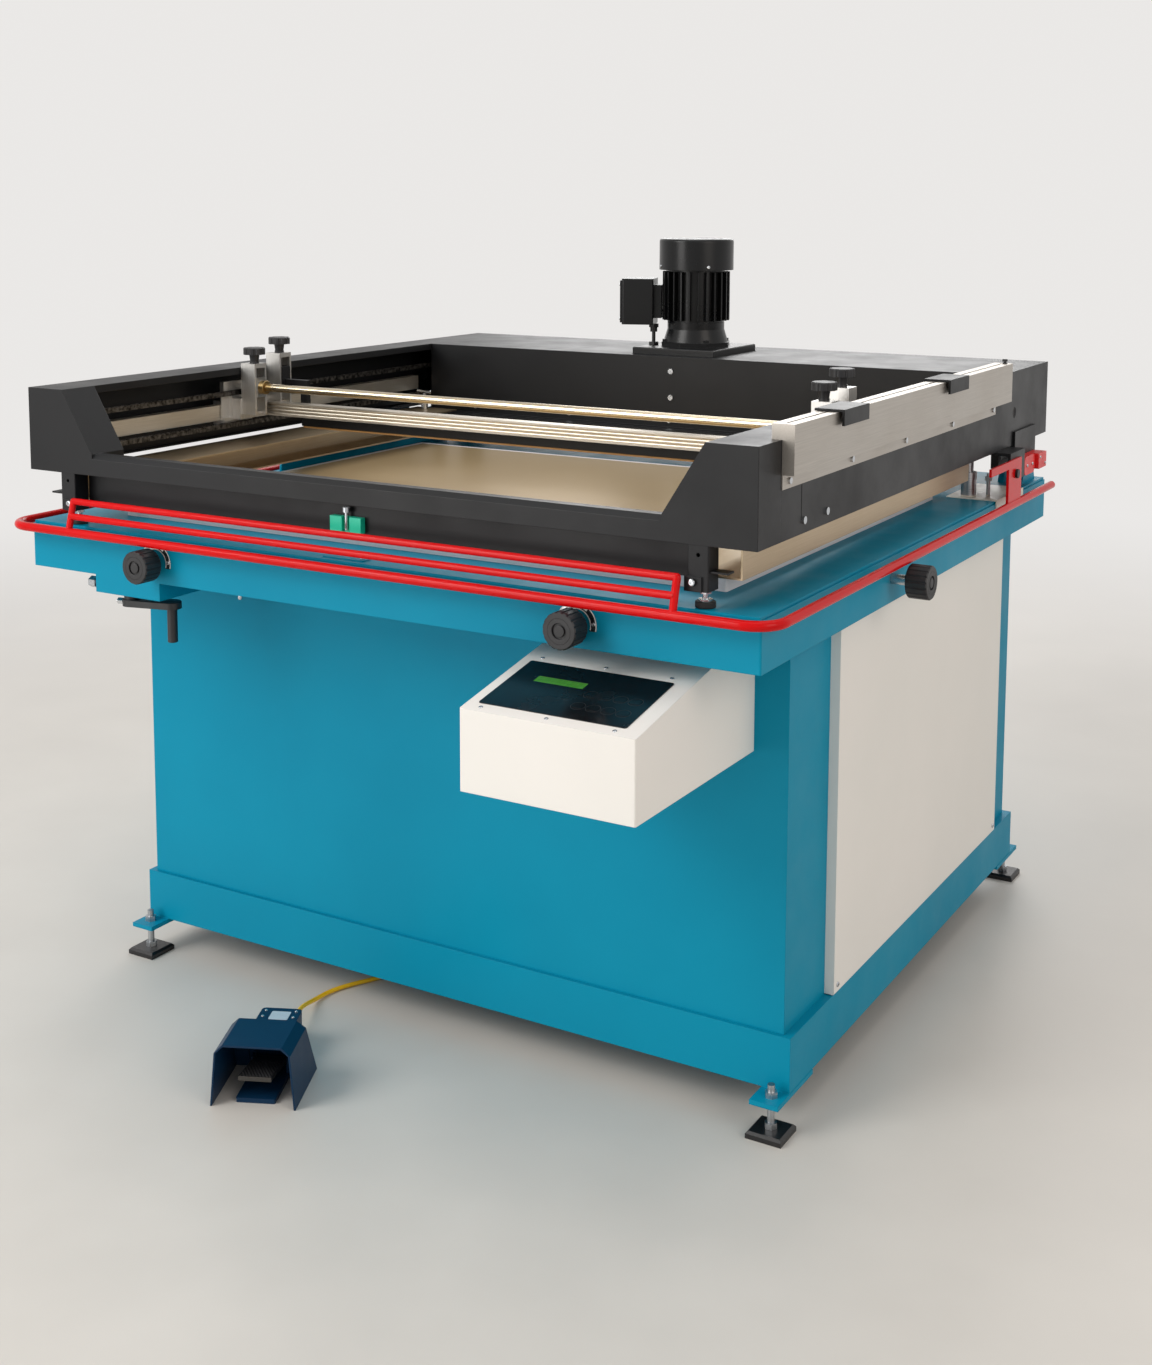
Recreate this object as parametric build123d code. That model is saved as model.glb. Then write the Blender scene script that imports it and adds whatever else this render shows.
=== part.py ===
from build123d import *
import math
import os

os.makedirs("parts", exist_ok=True)

# Flat-bed screen printing press with a clamshell head. X runs left to right across the front,
# Y to the back and Z up. The model is drawn with X centred, Y zero at the plinth's front and
# Z zero at the floor, and is moved to the middle of its footprint at the end.

# Clearances
running = 0.05
slip = 0.5
seat_gap = 0.3

# Plinth and cabinet
plinth_width = 1380.0
plinth_depth = 1202.5
plinth_bottom = 64.0
plinth_height = 92.0
plinth_ledge = 14.5
cabinet_front = 7.5
cabinet_depth = 1177.0
cabinet_height = 655.0
sheet = 3.0
panel_front = 175.0
panel_rear = 1070.0
panel_proud = 17.5
panel_height = 645.0

# Table
table_width = 1463.0
table_front = -229.0
table_depth = 1460.5
table_height = 84.0
table_plate = 5.0
table_wall = 6.0
table_inset = 2.5
cross_member = 40.0

# Levelling feet
foot_pad = 62.0
foot_pad_height = 12.0
foot_stud = 6.0
foot_in = 22.0
foot_out = 22.0
foot_lug_width = 50.0
foot_lug_out = 48.0
foot_lug_back = 94.0
foot_lug_thick = 8.0

# Printing bed and its register slides
bed_width = 1236.0
bed_front = -106.0
bed_depth = 946.0
bed_thick = 22.0
bed_strip = 12.0
register_travel = 8.0
post_radius = 12.0
post_x = 250.0
post_front = 100.0
post_rear = 620.0
slide_bar = 20.0
slide_bar_height = 12.0
slide_plate = 12.0
slide_ring = 60.0

# Register knobs and lead screws
knob_radius = 29.0
knob_width = 38.0
knob_x = 428.0
knob_z = 848.0
knob_front = -283.0
knob_flutes = 18
screw_radius = 5.0
screw_end = -74.0
nut_depth = 30.0
nut_width = 28.0
side_knob_y = 300.0
side_knob_z = 852.0
side_knob_out = 802.0
side_screw_end = 560.0
bush_radius = 9.0
scale_outer = 35.0
scale_inner = 24.0
scale_thick = 1.5

# Hand crank
crank_block_left = -576.0
crank_block_right = -422.0
crank_block_height = 32.0
crank_block_rear = -80.0
crank_x = -512.0
crank_y = -205.0
crank_arm = 80.0
crank_arm_width = 34.0
crank_arm_thick = 13.0
crank_gap = 9.0
crank_shaft = 8.0
grip_radius = 9.0
grip_length = 62.0

# Control box
box_left = 320.0
box_right = 615.5
box_front = -387.0
box_bottom = 615.5
box_front_top = 742.0
box_slope = 10.8
box_sheet = 2.0
keypad_thick = 1.2

# Head
head_clear = 96.0
head_height = 150.5
head_width = 1453.0
head_front = -234.5
head_rear = 1243.0
side_box_width = 84.5
side_lip = 14.0
rear_box_front = 916.5
fascia_inner = 571.5
fascia_low = 38.0
leg_x = 633.0
leg_width = 34.0
leg_drop = 68.0
stop_radius = 15.5
stop_height = 10.0
stop_stud = 5.0
front_rail_drop = 55.0
front_rail_thick = 14.0

# Head hinge
hinge_y = 1160.0
hinge_z = 948.0
hinge_pin = 10.0
hinge_x = 690.0
lug_width = 26.0
lug_radius = 24.0
cheek_thick = 12.0

# Carriage drive
shaft_y = 1004.5
shaft_z = 1057.5
shaft_radius = 10.0
chain_pitch = 12.7
sprocket_teeth = 16
chain_beside = 16.5
chain_width = 9.0
chain_thick = 5.0
sprocket_thick = 6.0
idler_y = -188.0
idler_bore = 6.0
guide_beside = 54.5
guide_thick = 18.0
guide_low = 1034.0
guide_height = 32.0
bearing_radius = 25.0
bearing_width = 14.0

# Motor on the rear box
motor_x = -13.0
motor_y = 1050.0
motor_plate_left = -115.0
motor_plate_right = 84.0
motor_plate_front = 942.0
motor_plate_rear = 1158.0
motor_plate_thick = 15.0
adapter_height = 38.0
adapter_radius = 80.0
neck_radius = 63.5
neck_height = 16.0
body_radius = 62.0
fin_height = 12.0
fin_thick = 3.0
fin_count = 24
body_length = 116.0
cowl_radius = 82.5
cowl_length = 69.0
terminal_width = 71.0
terminal_depth = 84.0
terminal_height = 102.0
terminal_z = 1204.0
terminal_turn = 20.0
cable_radius = 4.0

# Stainless cover and stroke brackets on the right side box
cover_over = 16.5
cover_width = 36.0
cover_front = -155.0
cover_rear = 918.0
cover_low = 1090.0
cover_high = 1165.0
cover_flange = 22.0
cover_sheet = 1.5
bracket_length = 104.0
bracket_thick = 4.0
bracket_drop = 25.0
bracket_near = 13.0
bracket_far = 512.0

# Screen holder rails
holder_width = 113.0
holder_reach = 38.0
holder_top = 990.5
holder_sheet = 3.0
holder_depth = 50.0
holder_ledge = 70.0
rear_rail_thick = 12.0
clamp_in = 39.0
clamp_top = 42.0
clamp_collar = 28.0
clamp_bar = 20.0
clamp_screw = 4.0

# Carriage
slider_y = 257.0
slider_flange = 85.0
slider_web = 36.0
slider_low = 1020.0
slider_high = 1113.0
slider_rim = 20.0
slider_thick = 10.0
shoe_lip = 8.0
plate_front = 240.0
plate_rear = 362.0
plate_low = 1036.0
plate_high = 1078.0
block_width = 36.0
block_beside = 32.0
block_wall = 5.0
front_block_y = 262.0
front_block_top = 1150.0
rear_block_y = 340.0
rear_block_top = 1166.0
block_depth = 36.0
block_height = 104.0
block_cap = 9.0
slide_height = 40.0
rod_radius = 8.0
rod_drop = 48.0
beam_y = 300.0
beam_low = 1042.0
beam_height = 27.0
beam_depth = 24.0
beam_groove = 3.5
bar_thick = 18.0
bar_low = 1018.0
bar_height = 18.0
bar_short = 48.0
blade_thick = 8.0
blade_drop = 4.0
star_radius = 22.0
star_height = 14.0
star_neck = 10.5
star_lobes = 8

# Safety rail
rail_radius = 8.0
rail_out = 30.5
rail_front = -262.0
rail_z = 890.0
rail_rear = 1170.0
rail_bend = 48.0
upper_rail_y = -248.0
upper_rail_z = 944.0
lower_rail_y = -256.0
lower_rail_z = 918.0
inner_rail_radius = 6.0
inner_rail_half = 606.0
rail_pivot_y = 905.0
rail_pivot_z = 950.0
rail_plate = 5.0

# Rear plate, damper and switch
rest_in = 99.5
rest_front = 880.0
rest_rear = 1060.0
rest_sheet = 2.5
damper_in = 64.5
damper_y = 909.0
damper_radius = 15.0

# Foot pedal, turned about its front left corner
pedal_x = -162.7
pedal_y = -411.8
pedal_turn = 24.4
pedal_width = 144.0
pedal_depth = 141.0
pedal_height = 106.0
pedal_top_width = 128.0
pedal_top_depth = 97.0
pedal_bevel = 14.0
pedal_wall = 3.0
pedal_base_left = 38.5
pedal_base_right = 105.5
pedal_base_front = 16.5
pedal_base_thick = 8.0
treadle_length = 96.0
treadle_pivot_y = 112.0
treadle_pivot_z = 26.0
treadle_rise = 14.0
treadle_thick = 6.0
treadle_pin = 3.0
switch_box_left = 25.0
switch_box_right = 97.0
switch_box_rear = 228.0
switch_box_height = 62.0
cord_radius = 4.0
gland_radius = 8.0
gland_length = 18.0
pedal_gland_x = 72.0
pedal_gland_z = 30.0

# Places that follow from the sizes above
cabinet_width = plinth_width - 2 * plinth_ledge
cabinet_rear = cabinet_front + cabinet_depth
plinth_top = plinth_bottom + plinth_height
cabinet_top = plinth_top + cabinet_height
table_top = cabinet_top + table_height
table_rear = table_front + table_depth
head_bottom = table_top + head_clear
head_top = head_bottom + head_height
half_head = head_width / 2
box_inner = half_head - side_box_width
foot_x = plinth_width / 2 - foot_in
rail_x = table_width / 2 + rail_out
rest_left = table_width / 2 - rest_in
damper_x = table_width / 2 - damper_in
guide_inner = half_head - guide_beside
chain_x = guide_inner - chain_beside
block_outer = guide_inner - block_beside
block_inner = block_outer - block_width
bar_half = block_inner - bar_short
holder_outer = box_inner + holder_reach
holder_inner = holder_outer - holder_width
clamp_x = holder_outer - clamp_in
cover_inner = half_head - cover_over
cover_outer = cover_inner + cover_width
chain_radius = chain_pitch / (2 * math.sin(math.pi / sprocket_teeth))
cap_rear = cover_front - 1
motor_seat = head_top + motor_plate_thick
front_rail_top = holder_top - holder_sheet
member_front = post_front - 40
member_rear = post_rear + 10
member_height = 15.0
bed_low = table_top + seat_gap
nut_front = -122.0
yoke_inner = 566.0
yoke_outer = 592.0
yoke_half = 20.0
bush_front = table_front - 13
bush_side = table_width / 2 + 30
crank_turn = 14.0
crank_pin = 4.0
keypad_left = 338.0
keypad_right = 587.0
keypad_front = 24.0
keypad_rear = 176.0
window_left = 379.0
window_right = 465.0
window_front = 113.0
window_rear = 132.0
key_left = 487.0
key_front = 62.0
key_pitch = 25.0
key_row = 38.0
key_size = 17.0
crossbar_depth = 26.0
hinge_floor = 1000.0
gear_boss = 45.0
gear_half = 62.0
gear_radius = 46.0
gear_rear = 52.0
rear_screw_first = -514.0
rear_screw_pitch = 253.5
rear_screw_up = 14.0
face_screw_x = -6.0
face_screw_down = 32.0
face_screw_up = 61.0
box_screw_front = -71.0
box_screw_rear = 18.0
box_screw_up = 20.0
cover_screw_first = 25.0
cover_screw_pitch = 246.0
screw_head = 3.0
small_screw = 5.0
large_screw = 6.0
switch_ahead = 156.0
switch_length = 72.0
switch_gap = 8.0
actuator_length = 56.0
switch_thick = 20.0
switch_out = 5.0
guide_front = -222.0
guide_rear = 905.0
chain_gap = 3.7
lug_front = 1003.0
cheek_outer = hinge_x + lug_width / 2 + 1
cheek_inner = hinge_x - lug_width / 2 - 1
cover_middle = (cover_inner + cover_outer) / 2
front_rail_y = head_front + leg_width
rear_rail_depth = 48.5
clamp_y = rear_box_front - 30.5
block_middle = (block_inner + block_outer - block_wall) / 2
star_screw = 4.0
hanger_front = 857.0
hanger_rear = 942.0
hanger_top = 964.0
hanger_bolt = 5.0
hanger_face = rail_x - 4
cord_up_x = -125.0
cord_up_y = 340.0
cord_points = [(-198.775, -157.983, 30), (-214.473, -123.377, 30), (-233, -80, 20),
               (-247, -37, 7), (-249, 8, 4.4), (-233, 50, 5), (-206, 97, 4.6),
               (-183, 150, 5.4), (-157, 203, 4.8), (-139, 258, 12), (-129, 304, 34),
               (-125, 332, 66), (-125, 340, 104), (-125, 340, 142)]


def span(x0, x1, y0, y1, z0, z1):
    """A block between two corners."""
    place = Pos((x0 + x1) / 2, (y0 + y1) / 2, (z0 + z1) / 2)
    return place * Box(abs(x1 - x0), abs(y1 - y0), abs(z1 - z0))


def rod_x(radius, x0, x1, y, z):
    """A round bar along X."""
    return Pos((x0 + x1) / 2, y, z) * Rot(0, 90, 0) * Cylinder(radius, abs(x1 - x0))


def rod_y(radius, y0, y1, x, z):
    """A round bar along Y."""
    return Pos(x, (y0 + y1) / 2, z) * Rot(90, 0, 0) * Cylinder(radius, abs(y1 - y0))


def rod_z(radius, z0, z1, x, y):
    """A round bar along Z."""
    return Pos(x, y, (z0 + z1) / 2) * Cylinder(radius, abs(z1 - z0))


def hex_z(across, z0, z1, x, y):
    """A hexagon nut or head that stands on Z, by its width across flats."""
    face = RegularPolygon(across / math.sqrt(3), 6)
    return Pos(x, y, z0) * extrude(face, z1 - z0)


def along_x(points, x0, x1):
    """A prism along X, from corner points given as Y and Z."""
    face = Plane.YZ * make_face(Polyline(points, close=True))
    return Pos(x0, 0, 0) * extrude(face, x1 - x0)


def both(shape):
    """A piece and its mirror image on the other side."""
    return shape + mirror(shape, about=Plane.YZ)


def turned(shape):
    """Place a piece drawn in the pedal's own corner frame."""
    return Pos(pedal_x, pedal_y, 0) * Rot(0, 0, pedal_turn) * shape


def group(*pieces):
    """Pieces that share a node, kept as separate solids."""
    solids = []
    for piece in pieces:
        solids += piece.solids()
    return Compound(solids)

# Base


def plinth():
    """Welded sheet plinth, open below, with a ledge that the cabinet stands on."""
    half = plinth_width / 2
    outer = span(-half, half, 0, plinth_depth, plinth_bottom, plinth_top)
    inner = span(sheet - half, half - sheet, sheet, plinth_depth - sheet,
                 plinth_bottom, plinth_top - sheet)
    reach = 2 * plinth_ledge
    well = span(reach - half, half - reach, reach, plinth_depth - reach,
                plinth_bottom, plinth_top)
    return outer - inner - well


def cabinet_shell():
    """Sheet cabinet, open above, with a doorway behind the side panel."""
    half = cabinet_width / 2
    outer = span(-half, half, cabinet_front, cabinet_rear, plinth_top, cabinet_top)
    inner = span(sheet - half, half - sheet, cabinet_front + sheet, cabinet_rear - sheet,
                 plinth_top + sheet, cabinet_top)
    frame = 40.0
    door = span(half - sheet, half, panel_front + frame, panel_rear - frame,
                plinth_top + frame, plinth_top + panel_height - frame)
    gland_hole = rod_z(gland_radius + slip, plinth_top, plinth_top + sheet,
                       cord_up_x, cord_up_y)
    return outer - inner - door - gland_hole


def side_panel():
    """Folded tray that closes the doorway on the right."""
    inside = cabinet_width / 2
    low = plinth_top + 2
    high = low + panel_height
    outer = span(inside, inside + panel_proud, panel_front, panel_rear, low, high)
    tray = span(inside, inside + panel_proud - sheet, panel_front + sheet,
                panel_rear - sheet, low + sheet, high - sheet)
    return fillet(outer.edges().filter_by(Axis.Y).group_by(Axis.X)[-1], 2.0) - tray


def foot_places():
    """Front and back, left and right places of the levelling feet."""
    for side in (-1, 1):
        yield side * foot_x, -foot_out
        yield side * foot_x, plinth_depth + foot_out


def foot_lugs():
    """Lugs under the plinth's corners, with a hole for each stud."""
    lugs = Part()
    low = plinth_bottom - foot_lug_thick
    right = foot_x + foot_lug_width / 2 - 2
    left = right - foot_lug_width
    for side in (-1, 1):
        for end in (0, plinth_depth):
            out = end - foot_lug_out if end == 0 else end + foot_lug_out
            back = end + foot_lug_back if end == 0 else end - foot_lug_back
            low_y = min(out, back)
            high_y = max(out, back)
            lugs += span(side * left, side * right, low_y, high_y, low, plinth_bottom)
    for x, y in foot_places():
        lugs -= rod_z(foot_stud + slip, low, plinth_bottom, x, y)
    return lugs


def foot_pads():
    """Square pads with a bevelled top."""
    pads = Part()
    for x, y in foot_places():
        pad = Pos(x, y, foot_pad_height / 2) * Box(foot_pad, foot_pad, foot_pad_height)
        pads += chamfer(pad.edges().group_by(Axis.Z)[-1], 4.0)
    return pads


def foot_studs():
    """Threaded studs, each locked to its lug by a nut above and below."""
    studs = Part()
    low = plinth_bottom - foot_lug_thick
    nut = 1.6 * foot_stud
    across = 3.1 * foot_stud
    for x, y in foot_places():
        stud = rod_z(foot_stud, foot_pad_height, plinth_bottom + 2.2 * nut, x, y)
        stud += hex_z(across, plinth_bottom, plinth_bottom + nut, x, y)
        stud += hex_z(across, low - nut, low, x, y)
        stud += hex_z(across, foot_pad_height, foot_pad_height + nut, x, y)
        studs += stud
    return studs


def table_frame():
    """Apron box of the table, open above, with cross members for the register slides."""
    half = table_width / 2
    high = table_top - table_plate
    low = cabinet_top
    outer = span(-half, half, table_front, table_rear, low, high)
    outer = fillet(outer.edges().filter_by(Axis.Z), 3.0)
    inner = span(table_wall - half, half - table_wall, table_front + table_wall,
                 table_rear - table_wall, low + sheet, high)
    well_half = cabinet_width / 2 - 2 * plinth_ledge
    well = span(-well_half, well_half, cabinet_front + plinth_ledge,
                cabinet_rear - plinth_ledge, low, low + sheet)
    frame = outer - inner - well
    for y in (member_front, member_rear):
        frame += span(table_wall - half, half - table_wall, y, y + cross_member,
                      low, low + member_height)
    for x in (-knob_x, knob_x):
        frame -= rod_y(bush_radius, table_front, table_front + table_wall, x, knob_z)
    frame -= rod_x(bush_radius, half - table_wall, half, side_knob_y, side_knob_z)
    return frame


def slide_bars():
    """Ground bars on the cross members, which the cross slide runs on."""
    bars = Part()
    low = cabinet_top + member_height
    for side in (-1, 1):
        bars += span(side * post_x - slide_bar / 2, side * post_x + slide_bar / 2,
                     member_front, member_rear + cross_member, low, low + slide_bar_height)
    return bars


def table_plate_sheet():
    """Table top plate, with holes for the bed's posts and a window for its yoke."""
    half = table_width / 2 - table_inset
    plate = span(-half, half, table_front + table_inset, table_rear - table_inset,
                 table_top - table_plate, table_top)
    low = table_top - table_plate
    hole = post_radius + register_travel * 1.5 + 2
    for x in (-post_x, post_x):
        for y in (post_front, post_rear):
            plate -= rod_z(hole, low, table_top, x, y)
    reach = register_travel + 4
    plate -= span(yoke_inner - reach, yoke_outer + reach, side_knob_y - yoke_half - reach,
                  side_knob_y + yoke_half + reach, low, table_top)
    return plate


def table_cover():
    """Small cover plate on the table's front edge."""
    plate = span(-70, 15, -215, -150, table_top, table_top + 2)
    return fillet(plate.edges().filter_by(Axis.Z), 3.0)


def knob_bushes():
    """Flanged bushes that the register screws turn in."""
    bushes = Part()
    for x in (-knob_x, knob_x):
        bush = rod_y(bush_radius, bush_front, table_front + table_wall, x, knob_z)
        bushes += bush - rod_y(screw_radius + running, bush_front,
                               table_front + table_wall, x, knob_z)
    half = table_width / 2
    bush = rod_x(bush_radius, half - table_wall, bush_side, side_knob_y, side_knob_z)
    bushes += bush - rod_x(screw_radius + running, half - table_wall, bush_side,
                           side_knob_y, side_knob_z)
    return bushes


def scale_plates():
    """Thin arc plates behind the front knobs, for the register scale."""
    plates = Part()
    for x in (-knob_x, knob_x):
        ring = rod_y(scale_outer, table_front - scale_thick, table_front, x, knob_z)
        ring -= rod_y(scale_inner, table_front - scale_thick, table_front, x, knob_z)
        keep = span(x - scale_outer, x + scale_outer, table_front - scale_thick,
                    table_front, knob_z - 8, knob_z + scale_outer)
        plates += ring & keep
    return plates


def hinge_cheek(side, inner):
    """One upright plate of a hinge bracket, from its inner face outwards."""
    x0 = side * inner
    foot = 45.0
    shoulder = lug_radius - 1
    points = [(hinge_y - foot, table_top), (hinge_y + foot, table_top),
              (hinge_y + shoulder, hinge_z), (hinge_y - shoulder, hinge_z)]
    cheek = along_x(points, x0, x0 + side * cheek_thick)
    cheek += rod_x(lug_radius, x0, x0 + side * cheek_thick, hinge_y, hinge_z)
    return cheek - rod_x(hinge_pin + running, x0, x0 + side * cheek_thick, hinge_y, hinge_z)


def hinge_cheeks():
    """Pairs of upright plates that carry the head's hinge pins."""
    plates = Part()
    for side in (-1, 1):
        plates += hinge_cheek(side, cheek_outer)
        plates += hinge_cheek(side, cheek_inner - cheek_thick)
    return plates


def hinge_pins():
    """Hinge pins with a head at each end."""
    pins = Part()
    head = 4.0
    for side in (-1, 1):
        near = side * (cheek_inner - cheek_thick)
        far = side * (cheek_outer + cheek_thick)
        pin = rod_x(hinge_pin, near - side * head, far + side * head, hinge_y, hinge_z)
        pin += rod_x(hinge_pin + head, far, far + side * head, hinge_y, hinge_z)
        pin += rod_x(hinge_pin + head, near - side * head, near, hinge_y, hinge_z)
        pins += pin
    return pins


def left_cheek():
    """Upright plate along the table's left side, with a sloping front edge."""
    outside = -table_width / 2 + table_inset + 8
    points = [(455, table_top), (455, table_top + 12), (570, table_top + 68),
              (1090, table_top + 84), (1090, table_top)]
    return along_x(points, outside, outside + 5)


# Printing bed and its register slides


def cross_slide():
    """Ring that runs front to back on the slide bars, with two nuts for the front screws."""
    low = cabinet_top + member_height + slide_bar_height
    high = low + slide_plate
    half = post_x + slide_ring / 2
    front = post_front - slide_ring / 2
    rear = post_rear + slide_ring / 2
    ring = span(-half, half, front, rear, low, high)
    ring -= span(slide_ring - half, half - slide_ring, front + slide_ring,
                 rear - slide_ring, low, high)
    arm = nut_width / 2
    ring += span(-knob_x - arm, knob_x + arm, front, front + slide_bar, low, high)
    for x in (-knob_x, knob_x):
        ring += span(x - arm, x + arm, nut_front, front, low, high)
        ring += span(x - arm, x + arm, nut_front, nut_front + nut_depth,
                     knob_z - arm, knob_z + arm)
        ring -= rod_y(screw_radius + running, nut_front, front, x, knob_z)
    for y in (post_front, post_rear):
        ring += span(-half, half, y - slide_bar / 2, y + slide_bar / 2,
                     high, high + slide_bar_height)
    return ring


def bed_posts():
    """Posts that carry the bed plate, and the yoke that the side screw moves."""
    posts = Part()
    low = cabinet_top + member_height + 2 * slide_bar_height + slide_plate
    for x in (-post_x, post_x):
        for y in (post_front, post_rear):
            posts += rod_z(post_radius, low, bed_low, x, y)
    yoke = span(yoke_inner, yoke_outer, side_knob_y - yoke_half, side_knob_y + yoke_half,
                side_knob_z - nut_width / 2, bed_low)
    bore = screw_radius + running
    yoke -= span(yoke_inner, yoke_outer, side_knob_y - register_travel,
                 side_knob_y + register_travel, side_knob_z - bore, side_knob_z + bore)
    for y in (side_knob_y - register_travel, side_knob_y + register_travel):
        yoke -= rod_x(bore, yoke_inner, yoke_outer, y, side_knob_z)
    return posts + yoke


def bed_rim():
    """Aluminium edge profile round the bed."""
    half = bed_width / 2
    outer = span(-half, half, bed_front, bed_front + bed_depth, bed_low, bed_low + bed_thick)
    outer = fillet(outer.edges().filter_by(Axis.Z), 4.0)
    inner = span(bed_strip - half, half - bed_strip, bed_front + bed_strip,
                 bed_front + bed_depth - bed_strip, bed_low, bed_low + bed_thick)
    return outer - inner


def bed_plate():
    """Flat printing plate inside the edge profile."""
    half = bed_width / 2 - bed_strip
    return span(-half, half, bed_front + bed_strip, bed_front + bed_depth - bed_strip,
                bed_low, bed_low + bed_thick)


def hand_knob(width):
    """Fluted hand knob on the Z axis, from zero up, with a recessed face."""
    knob = Cylinder(knob_radius, width, align=(Align.CENTER, Align.CENTER, Align.MIN))
    knob = chamfer(knob.edges(), 2.0)
    flute = 2.2
    for turn in PolarLocations(knob_radius + flute / 3, knob_flutes):
        knob -= turn * Cylinder(flute, width, align=(Align.CENTER, Align.CENTER, Align.MIN))
    recess = 3.0
    knob -= Pos(0, 0, width - recess) * Cylinder(knob_radius - 9, recess,
                                                align=(Align.CENTER, Align.CENTER, Align.MIN))
    return knob


def front_knob(x):
    """Front register knob with its lead screw, at one place across the front."""
    back = knob_front + knob_width
    knob = Pos(x, back, knob_z) * Rot(90, 0, 0) * hand_knob(knob_width)
    return knob + rod_y(screw_radius, back, screw_end, x, knob_z)


def side_knob():
    """Side register knob with its screw."""
    back = side_knob_out - knob_width
    knob = Pos(back, side_knob_y, side_knob_z) * Rot(0, 90, 0) * hand_knob(knob_width)
    return knob + rod_x(screw_radius, side_screw_end, back, side_knob_y, side_knob_z)


# Hand crank


def crank_block():
    """Bearing block under the table's left front, with a bore for the crank's shaft."""
    low = cabinet_top - crank_block_height
    block = span(crank_block_left, crank_block_right, table_front, crank_block_rear,
                 low, cabinet_top)
    return block - rod_z(crank_shaft + running, low, cabinet_top, crank_x, crank_y)


def crank_place(reach):
    """A point on the crank arm's centre line, as X and Y."""
    turn = math.radians(crank_turn)
    return crank_x + reach * math.cos(turn), crank_y + reach * math.sin(turn)


def crank():
    """Crank shaft with its flat arm and the pin that the grip turns on."""
    block_low = cabinet_top - crank_block_height
    high = block_low - crank_gap
    low = high - crank_arm_thick
    arm = SlotCenterToCenter(crank_arm, crank_arm_width)
    middle_x, middle_y = crank_place(crank_arm / 2)
    body = Pos(middle_x, middle_y, low) * Rot(0, 0, crank_turn) * extrude(arm, crank_arm_thick)
    body = chamfer(body.edges().group_by(Axis.Z)[-1], 1.5)
    body += rod_z(crank_shaft, high, cabinet_top - 2, crank_x, crank_y)
    body += rod_z(crank_shaft + 6, high, block_low - seat_gap, crank_x, crank_y)
    end_x, end_y = crank_place(crank_arm)
    return body + rod_z(crank_pin, low - grip_length + 6, low, end_x, end_y)


def crank_grip():
    """Sleeve grip that spins on the crank's pin."""
    low = cabinet_top - crank_block_height - crank_gap - crank_arm_thick
    end_x, end_y = crank_place(crank_arm)
    grip = rod_z(grip_radius, low - grip_length, low - seat_gap, end_x, end_y)
    grip = fillet(grip.edges(), 2.0)
    return grip - rod_z(crank_pin + running, low - grip_length + 5, low, end_x, end_y)


# Control box


def box_profile(wall):
    """The control box's side outline, moved in by a wall thickness."""
    slope = math.radians(box_slope)
    rise = math.tan(slope)
    front = box_front + wall
    high = cabinet_top - seat_gap - wall
    start = box_front_top - wall / math.cos(slope) + wall * rise
    meet = front + (high - start) / rise
    return [(front, box_bottom + wall), (front, start), (meet, high),
            (cabinet_front, high), (cabinet_front, box_bottom + wall)]


def control_box():
    """Folded sheet box on the cabinet's front, open at the back."""
    outer = along_x(box_profile(0), box_left, box_right)
    outer = fillet(outer.edges().filter_by(Axis.Z).group_by(Axis.Y)[0], 3.0)
    return outer - along_x(box_profile(box_sheet), box_left + box_sheet,
                           box_right - box_sheet)


def on_slope(shape):
    """Place a piece drawn flat, with its origin at the slope's front edge, on the slope."""
    return Pos(0, box_front, box_front_top) * Rot(box_slope, 0, 0) * shape


def keypad():
    """Keypad plate on the slope, with a window and eight raised keys."""
    plate = span(keypad_left, keypad_right, keypad_front, keypad_rear, 0, keypad_thick)
    plate = fillet(plate.edges().filter_by(Axis.Z), 4.0)
    plate -= span(window_left, window_right, window_front, window_rear, 0, keypad_thick)
    for column in range(4):
        for row in range(2):
            x = key_left + column * key_pitch
            y = key_front + row * key_row
            key = Pos(x, y, keypad_thick) * Box(key_size, key_size * 0.8, 0.8)
            plate += key
    return on_slope(plate)


def display_window():
    """Display lens set in the keypad's window."""
    lens = span(window_left, window_right, window_front, window_rear, 0, keypad_thick * 0.8)
    return on_slope(lens)


# Head


def cap_face(inset):
    """Five-sided outline of an end cap, seen from the front."""
    points = [(fascia_inner, head_bottom), (fascia_inner, head_bottom + fascia_low),
              (box_inner, head_top), (half_head, head_top), (half_head, head_bottom)]
    face = make_face(Polyline(points, close=True))
    if inset:
        face = offset(face, -inset, kind=Kind.INTERSECTION)
    return Plane.XZ * face


def end_caps():
    """Folded caps that close the side boxes at the front."""
    depth = cap_rear - head_front
    outer = Pos(0, head_front, 0) * extrude(cap_face(0), -depth)
    inner = Pos(0, head_front + sheet, 0) * extrude(cap_face(sheet), -depth)
    return both(outer - inner)


def front_crossbar():
    """Folded crossbar between the end caps, with a bevelled top edge."""
    high = head_bottom + fascia_low
    rear = head_front + crossbar_depth
    bevel = 8.0
    points = [(head_front, head_bottom), (head_front, high - bevel),
              (head_front + bevel, high), (rear, high), (rear, head_bottom)]
    bar = along_x(points, -fascia_inner, fascia_inner)
    hollow = span(-fascia_inner, fascia_inner, head_front + sheet, rear - sheet,
                  head_bottom, high - sheet - bevel)
    return bar - hollow


def side_box(side):
    """Folded side box, open to the inside and below, closed under the hinge."""
    inside = side * box_inner
    outside = side * half_head
    wall = side * (half_head - sheet)
    box = span(inside, outside, cap_rear, head_rear, head_bottom, head_top)
    box -= span(inside, wall, cap_rear, head_rear - sheet, head_bottom, head_top - sheet)
    box += span(inside, inside + side * sheet, cap_rear, rear_box_front,
                head_top - side_lip, head_top - sheet)
    box += span(inside, wall, hinge_floor, head_rear - sheet, head_bottom,
                head_bottom + sheet)
    box += span(outside - side * side_lip, wall, cap_rear, hinge_floor, head_bottom,
                head_bottom + sheet)
    access = 11.0
    return box - rod_x(access, outside, wall, shaft_y, shaft_z)


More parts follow.
